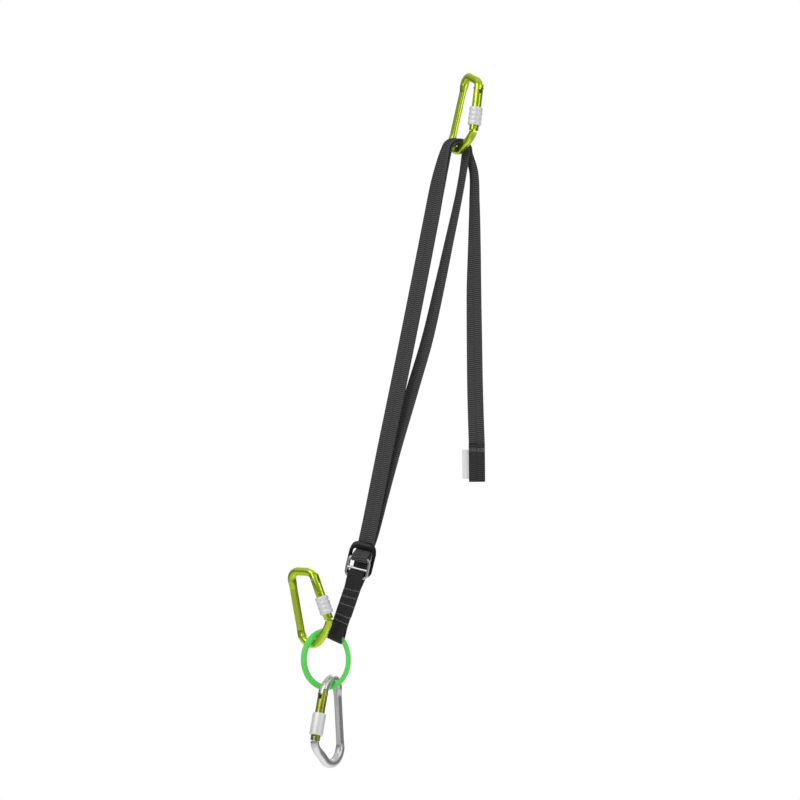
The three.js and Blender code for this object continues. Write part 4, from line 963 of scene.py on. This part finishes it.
# The silver frame: a loop of round bar with a crossbar.
def frontFrameMesh():
    bar, width, length, corner = (buckle[key] for key in ("bar", "frontWidth", "frontLength", "frontCorner"))
    loop = roundedLoop(width - 2 * bar, length - 2 * bar, corner, corner, buckle["frontCells"])
    rings = flatRings(loop, bar, bar, sides=buckle["frontSides"], loop=True)
    crossbar = barrel(buckle["crossbar"], width - 2 * bar, (0, 0, buckle["crossbarRise"]), 0,
                      buckle["crossbarSides"])
    points, faces = joined(gridOf(rings, closedRows=True)[:2], crossbar)
    return atBuckle(leaned(points, buckle["frontLean"], length, -buckle["step"], -buckle["rise"])), faces


# The black frame: a loop of flattened bar, by smooth steps rounder at its foot and thicker at its top.
def rearFrameMesh():
    bar, rail, depth, corner = (buckle[key] for key in ("bar", "rearRail", "rearDepth", "rearCorner"))
    span = buckle["rearLength"] - bar - buckle["rearTopBar"]
    width, topCorner = buckle["rearWidth"] - 2 * rail, buckle["rearTopCorner"]
    loop = roundedLoop(width, span, corner, topCorner, buckle["rearCells"])
    onFoot, onTop = 1 - smoothStep(loop[:, 1], 0, corner), smoothStep(loop[:, 1], span - corner, span)
    inPlane = rail + (bar - rail) * onFoot
    inPlane = inPlane + (buckle["rearTopBar"] - inPlane) * onTop
    across = depth + (bar - depth) * onFoot
    rings = flatRings(loop, inPlane, across, sides=buckle["rearSides"], loop=True)
    points, faces, _ = gridOf(rings, closedRows=True)
    lean, length = buckle["rearLean"], buckle["rearLength"]
    return atBuckle(leaned(points, lean, length, buckle["step"], buckle["rise"])), faces


points, faces = frontFrameMesh()
addMesh("front_frame_look", points, faces, "bright", "adjuster", ["buckle_front_frame"])
points, faces = rearFrameMesh()
addMesh("rear_frame_look", points, faces, "black", "release_frame", ["buckle_rear_frame"])
print("buckle done")

# The sewn tab, from the buckle's foot bars down to the ring, and the strap's fixed end sewn on behind it.
tab = {
    "tangent": (0.81731, -0.16685, -0.55151), "through": (0.13831, 0.98598, -0.09333),
    "way": (0.31931, -0.06145, 0.94566), "length": 77.926, "neckTop": 15, "neckBottom": 15, "sewn": 36,
    "eyeInner": 5.03, "ringEyeInner": 6.1, "behindEye": 8.63, "layerGap": 0.15, "endGap": 0.3,
    "ringShare": 0.5, "step": 1.0, "softenings": 3, "eyeCells": 60, "endCells": 24,
}
neck = half + tab["layerGap"]
behind = webbing["thickness"] + tab["layerGap"] + tab["endGap"] + half


# Places across, through and along the tab in space. The lower eye's width lies between the buckle's bars and
# the ring, and a smooth step along the tab leads to it.
def atTab(across, through, along):
    low = tab["length"] - tab["neckBottom"]
    share = tab["ringShare"] * smoothStep(-along, tab["neckTop"], low)[..., None]
    wide = unit(np.array(buckle["x"]) * (1 - share) + np.array(tab["tangent"]) * share)
    deep = unit(np.array(buckle["y"]) * (1 - share) + np.array(tab["through"]) * share)
    centre = np.array(buckle["origin"]) + along[..., None] * np.array(tab["way"])
    return centre + wide * across[..., None] + deep * through[..., None]


# The angle at which a line from a place touches a circle: the arc cosine of the radius divided by the
# distance, less the place's own angle.
def touchAngle(radius, through, along):
    return math.acos(radius / math.hypot(through, along)) - math.atan2(along, through)


# The section's thickness set square to a flat line, from the line's points and directions.
def thickened(line, way):
    normal = np.stack([-way[:, 1], way[:, 0]], axis=1)
    return line[:, :1] + normal[:, :1] * section[:, 1], line[:, 1:] + normal[:, 1:] * section[:, 1]


# A strap along a line of through and along places, in even steps. A loop is softened by means in which each
# point counts twice and its neighbours once.
def tabStrap(line, loop):
    line = evenly(line, int(lengthsOf(line)[-1] / tab["step"]) + 1)
    if loop:
        line = line[:-1]
        for _ in range(tab["softenings"]):
            line = (np.roll(line, 1, axis=0) + 2 * line + np.roll(line, -1, axis=0)) / 4
        way = unit(np.roll(line, -1, axis=0) - np.roll(line, 1, axis=0))
        alongs = np.append(lengthsOf(line), lengthsOf(line)[-1] + tab["step"])
    else:
        way, alongs = unit(np.gradient(line, axis=0)), lengthsOf(line)
    through, along = thickened(line, way)
    rings = atTab(np.broadcast_to(section[:, 0], through.shape), through, along)
    return gridOf(rings, alongs, sectionAround, closedRows=loop)


# The tab's loop: over the foot bars, down the front layer, round the ring and up the rear layer.
def tabLine():
    upperEye, lowerEye, low = tab["eyeInner"] + half, tab["ringEyeInner"] + half, -tab["length"]
    high, deep = -tab["neckTop"], low + tab["neckBottom"]
    topTouch = touchAngle(upperEye, neck, tab["neckTop"])
    lowTouch = touchAngle(lowerEye, neck, tab["neckBottom"])
    return np.concatenate([
        arc(np.zeros(2), upperEye, topTouch, math.pi - topTouch, tab["eyeCells"]),
        [[-neck, high], [-neck, deep]],
        arc(np.array([0, low]), lowerEye, math.pi + lowTouch, fullTurn - lowTouch, tab["eyeCells"]),
        [[neck, deep], [neck, high]],
        arc(np.zeros(2), upperEye, topTouch, topTouch, 1),
    ])


# The fixed end's line: straight up behind the tab, then round its upper eye.
def endLine():
    turn = touchAngle(tab["behindEye"], behind, tab["neckTop"] + half)
    return np.concatenate([
        [[behind, -tab["neckTop"] - tab["sewn"]], [behind, -tab["neckTop"] - half]],
        arc(np.zeros(2), tab["behindEye"], turn, 0, tab["endCells"]),
    ])


points, faces, uv = tabStrap(tabLine(), True)
addMesh("tab_look", points, faces, "tab", "tab", ["tab_webbing"], uv)
points, faces, uv = tabStrap(endLine(), False)
eyeFoot = atTab(np.zeros(1), np.zeros(1), np.array([-tab["neckTop"]]))[0]
addMesh("fixed_end_look", points, faces, "strap",
        ("adjuster", "tab", metres(buckle["origin"]), metres(eyeFoot)), ["strap_fixed_end"], uv)

# Bar tacks: dense zigzags across the strap, on the face where they are seen and on the one behind.
thread = {"radius": 0.2, "lift": 0.02, "sides": 6, "side": (0.31, 0.9, 0.3)}
tabTacks = {"rows": (-18.8, -28.4, -38.4, -52.3, -60.2), "reach": 9.4, "height": 1.5, "pitch": 0.4}
tailTacks = {"rows": (-6.6, -9.0), "reach": 9.3, "height": 1.9, "pitch": 0.42}


# A sewn thread as a thin tube through points: a circle square to the line at each.
def threadMesh(points):
    way = unit(np.gradient(points, axis=0))
    aside = unit(np.cross(way, np.array(thread["side"])))
    above = np.cross(way, aside)
    around = circled(aside, above, thread["sides"])
    return gridOf(points[:, None, :] + thread["radius"] * around)[:2]


# Even steps across, half the height above and below the row by turns.
def zigzag(tacks, row):
    count = int(2 * tacks["reach"] / tacks["pitch"])
    across = np.linspace(-tacks["reach"], tacks["reach"], count + 1)
    return across, row + tacks["height"] / 2 * np.where(np.arange(count + 1) % 2, 1, -1)


threads = []
front = -(neck + half) - thread["lift"]
for row in tabTacks["rows"]:
    across, along = zigzag(tabTacks, row)
    rear = behind if row > -tab["neckTop"] - tab["sewn"] else neck
    for through in (front, rear + half + thread["lift"]):
        threads.append(threadMesh(atTab(across, np.full(len(across), through), along)))
points, faces = joined(*threads)
addMesh("tab_tacks", points, faces, "tabThread", "tab", sharp=80)

# The tail's folded end in its own axes: x across, y through and z up, from the middle of its top.
tail = {
    "top": (9.139, 7.033, -447.811), "turn": 5, "tilt": -0.6, "length": 47.5, "slit": 0.5,
    "frontStart": 0.25, "rearStart": -0.3, "foldCells": 30, "rows": 110,
}
tailAxes = turned(tail["turn"], tail["tilt"])
layer = webbing["thickness"] + tail["slit"]


# From the tail's axes to space: its top plus each coordinate times its axis.
def atTail(points):
    return np.array(tail["top"]) + np.asarray(points) @ tailAxes.T


# The tail's folded end: the front layer down, half a circle at the fold and the rear layer up.
def tailEndMesh():
    fold = layer / 2
    foldLine = np.concatenate([
        [[0.0, tail["frontStart"]]],
        arc(np.array([-fold, fold + half - tail["length"]]), fold, 0, -math.pi, tail["foldCells"]),
        [[-layer, tail["rearStart"]]],
    ])
    line = evenly(foldLine, tail["rows"])
    deep, high = thickened(line, unit(np.gradient(line, axis=0)))
    rings = np.stack([np.broadcast_to(section[:, 0], deep.shape), deep, high], axis=2)
    return gridOf(atTail(rings), lengthsOf(line), sectionAround)


# The folded end wears the darker copy of the strap's webbing, whose colour is painted shade.
points, faces, uv = tailEndMesh()
addMesh("tail_end_look", points, faces, "tailEnd", "tail_end", ["strap_tail_end"], uv)
threads = []
for face in (-layer - half - thread["lift"], half + thread["lift"]):
    for row in tailTacks["rows"]:
        across, along = zigzag(tailTacks, row)
        line = np.stack([across, np.full(len(across), face), along], axis=1)
        threads.append(threadMesh(atTail(line)))
points, faces = joined(*threads)
addMesh("tail_tacks", points, faces, "thread", "tail_end", sharp=80)

# The bare flag: a thin folded cloth caught in the edge, a little wavy.
label = {
    "left": -18.3, "right": -10.3, "top": -7.5, "foot": -43.5, "columns": 14, "rows": 40, "deep": -1.35,
    "half": 0.36, "thinner": 0.1, "thinFrom": 3.2, "thinTo": 4.0, "wave": 0.12, "waveTurn": 0.35,
    "ripple": 0.06,
}


# A wave is a sine down the flag that grows to its far edge, with a ripple across. Both edges are thinner.
def labelMesh():
    across = np.linspace(label["left"], label["right"], label["columns"])
    drop = np.linspace(label["top"], label["foot"], label["rows"])
    x, z = np.meshgrid(across, drop)
    wave = label["wave"] * np.sin(z * label["waveTurn"]) * smoothStep(-x, -label["right"], -label["left"])
    wave = wave + label["ripple"] * np.sin(x)
    middle = (label["left"] + label["right"]) / 2
    nearEdge = smoothStep(np.abs(x - middle), label["thinFrom"], label["thinTo"])
    thick = label["half"] - label["thinner"] * nearEdge
    front = np.stack([x, label["deep"] - thick + wave, z], axis=2)
    back = np.stack([x, label["deep"] + thick + wave, z], axis=2)
    rings = np.concatenate([front, back[:, ::-1]], axis=1)
    arounds = np.concatenate([across, across[::-1], across[:1]])
    return gridOf(atTail(rings), drop, arounds)


points, faces, uv = labelMesh()
addMesh("label_look", points, faces, "label", "tail_end", ["tail_label"], uv)
print("soft pieces done")


# A solid that stays in the look gets a material.
def dress(node, look):
    part = bpy.data.objects[node]
    part.material_slots[0].link = "OBJECT"
    part.material_slots[0].material = materials[look]


# The locks' plungers and springs get a metal and the ring's core its cord. All but the gate springs, which
# have a finer piece above, show their solids.
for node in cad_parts:
    if node.endswith(("_plunger", "_spring")):
        dress(node, "steel")
    elif node == "ring_core":
        dress(node, "cord")

floor = {
    "centre": (-0.1, 0.0), "height": -1.42, "reach": 0.7, "sides": 64, "color": (0.75, 0.75, 0.745),
    "roughness": 0.9, "glow": 0.36,
}


# A flat disc below the object that glows a little, so that it comes out white.
def addFloor(name):
    turns = fullTurn * np.arange(floor["sides"]) / floor["sides"]
    height = np.full(floor["sides"], floor["height"])
    flat = np.array(floor["centre"]) + floor["reach"] * np.stack([np.cos(turns), np.sin(turns)], axis=1)
    points = np.concatenate([flat, height[:, None]], axis=1)
    mesh = bpy.data.meshes.new(name)
    mesh.from_pydata(points.tolist(), [], [tuple(range(floor["sides"]))])
    mesh.materials.append(newMaterial(name + "Look", floor["color"], floor["roughness"],
                                      Emission_Color=(1, 1, 1, 1), Emission_Strength=floor["glow"]))
    piece = linked(name, mesh)


addFloor("floor")

lightTarget = (-0.1, 0, -0.4)
lights = {
    "keyLight": {"place": (-1.5, -1.7, 0.9), "size": (1.2, 2.0), "power": 21},
    "fillLight": {"place": (1.9, -1.2, 0.1), "size": (0.7, 2.2), "power": 9},
    "rimLight": {"place": (0.6, 1.8, 0.7), "size": (1.6, 1.0), "power": 8},
}


# A rectangle of light that faces the target.
def addLight(name, place, size, power):
    data = bpy.data.lights.new(name, "AREA")
    data.shape = "RECTANGLE"
    data.size, data.size_y = size
    data.energy = power
    lamp = linked(name, data)
    lamp.location = place
    way = mathutils.Vector(lightTarget) - mathutils.Vector(place)
    lamp.rotation_euler = way.to_track_quat("-Z", "Y").to_euler()


for name, light in lights.items():
    addLight(name, light["place"], light["size"], light["power"])

# White behind the object for the camera, and a softer grey dome for its light and reflections. The dome's
# shades run from straight down at 0 to straight up at 1.
dome = {"stops": ((0.0, 0.45), (0.3, 1.1), (0.48, 0.06), (0.6, 0.5), (1.0, 1.0)), "strength": 0.75}
world = bpy.data.worlds.new("world")
bpy.context.scene.world = world
world.use_nodes = True
tree = world.node_tree
tree.nodes.clear()
(_, _, height), _ = coordinates(tree, "Generated")
ramp = addNode(tree, "ShaderNodeValToRGB", {"stops": dome["stops"]}, {0: 0.5 + 0.5 * height})
grey = addNode(tree, "ShaderNodeBackground", None, {"Color": ramp.outputs[0], "Strength": dome["strength"]})
white = addNode(tree, "ShaderNodeBackground", None, {"Color": (1, 1, 1, 1), "Strength": 1.0})
seen = addNode(tree, "ShaderNodeLightPath").outputs["Is Camera Ray"]
mixed = addNode(tree, "ShaderNodeMixShader", None, {0: seen, 1: grey.outputs[0], 2: white.outputs[0]})
addNode(tree, "ShaderNodeOutputWorld", None, {"Surface": mixed.outputs[0]})
bpy.context.scene.view_settings.view_transform = "Standard"
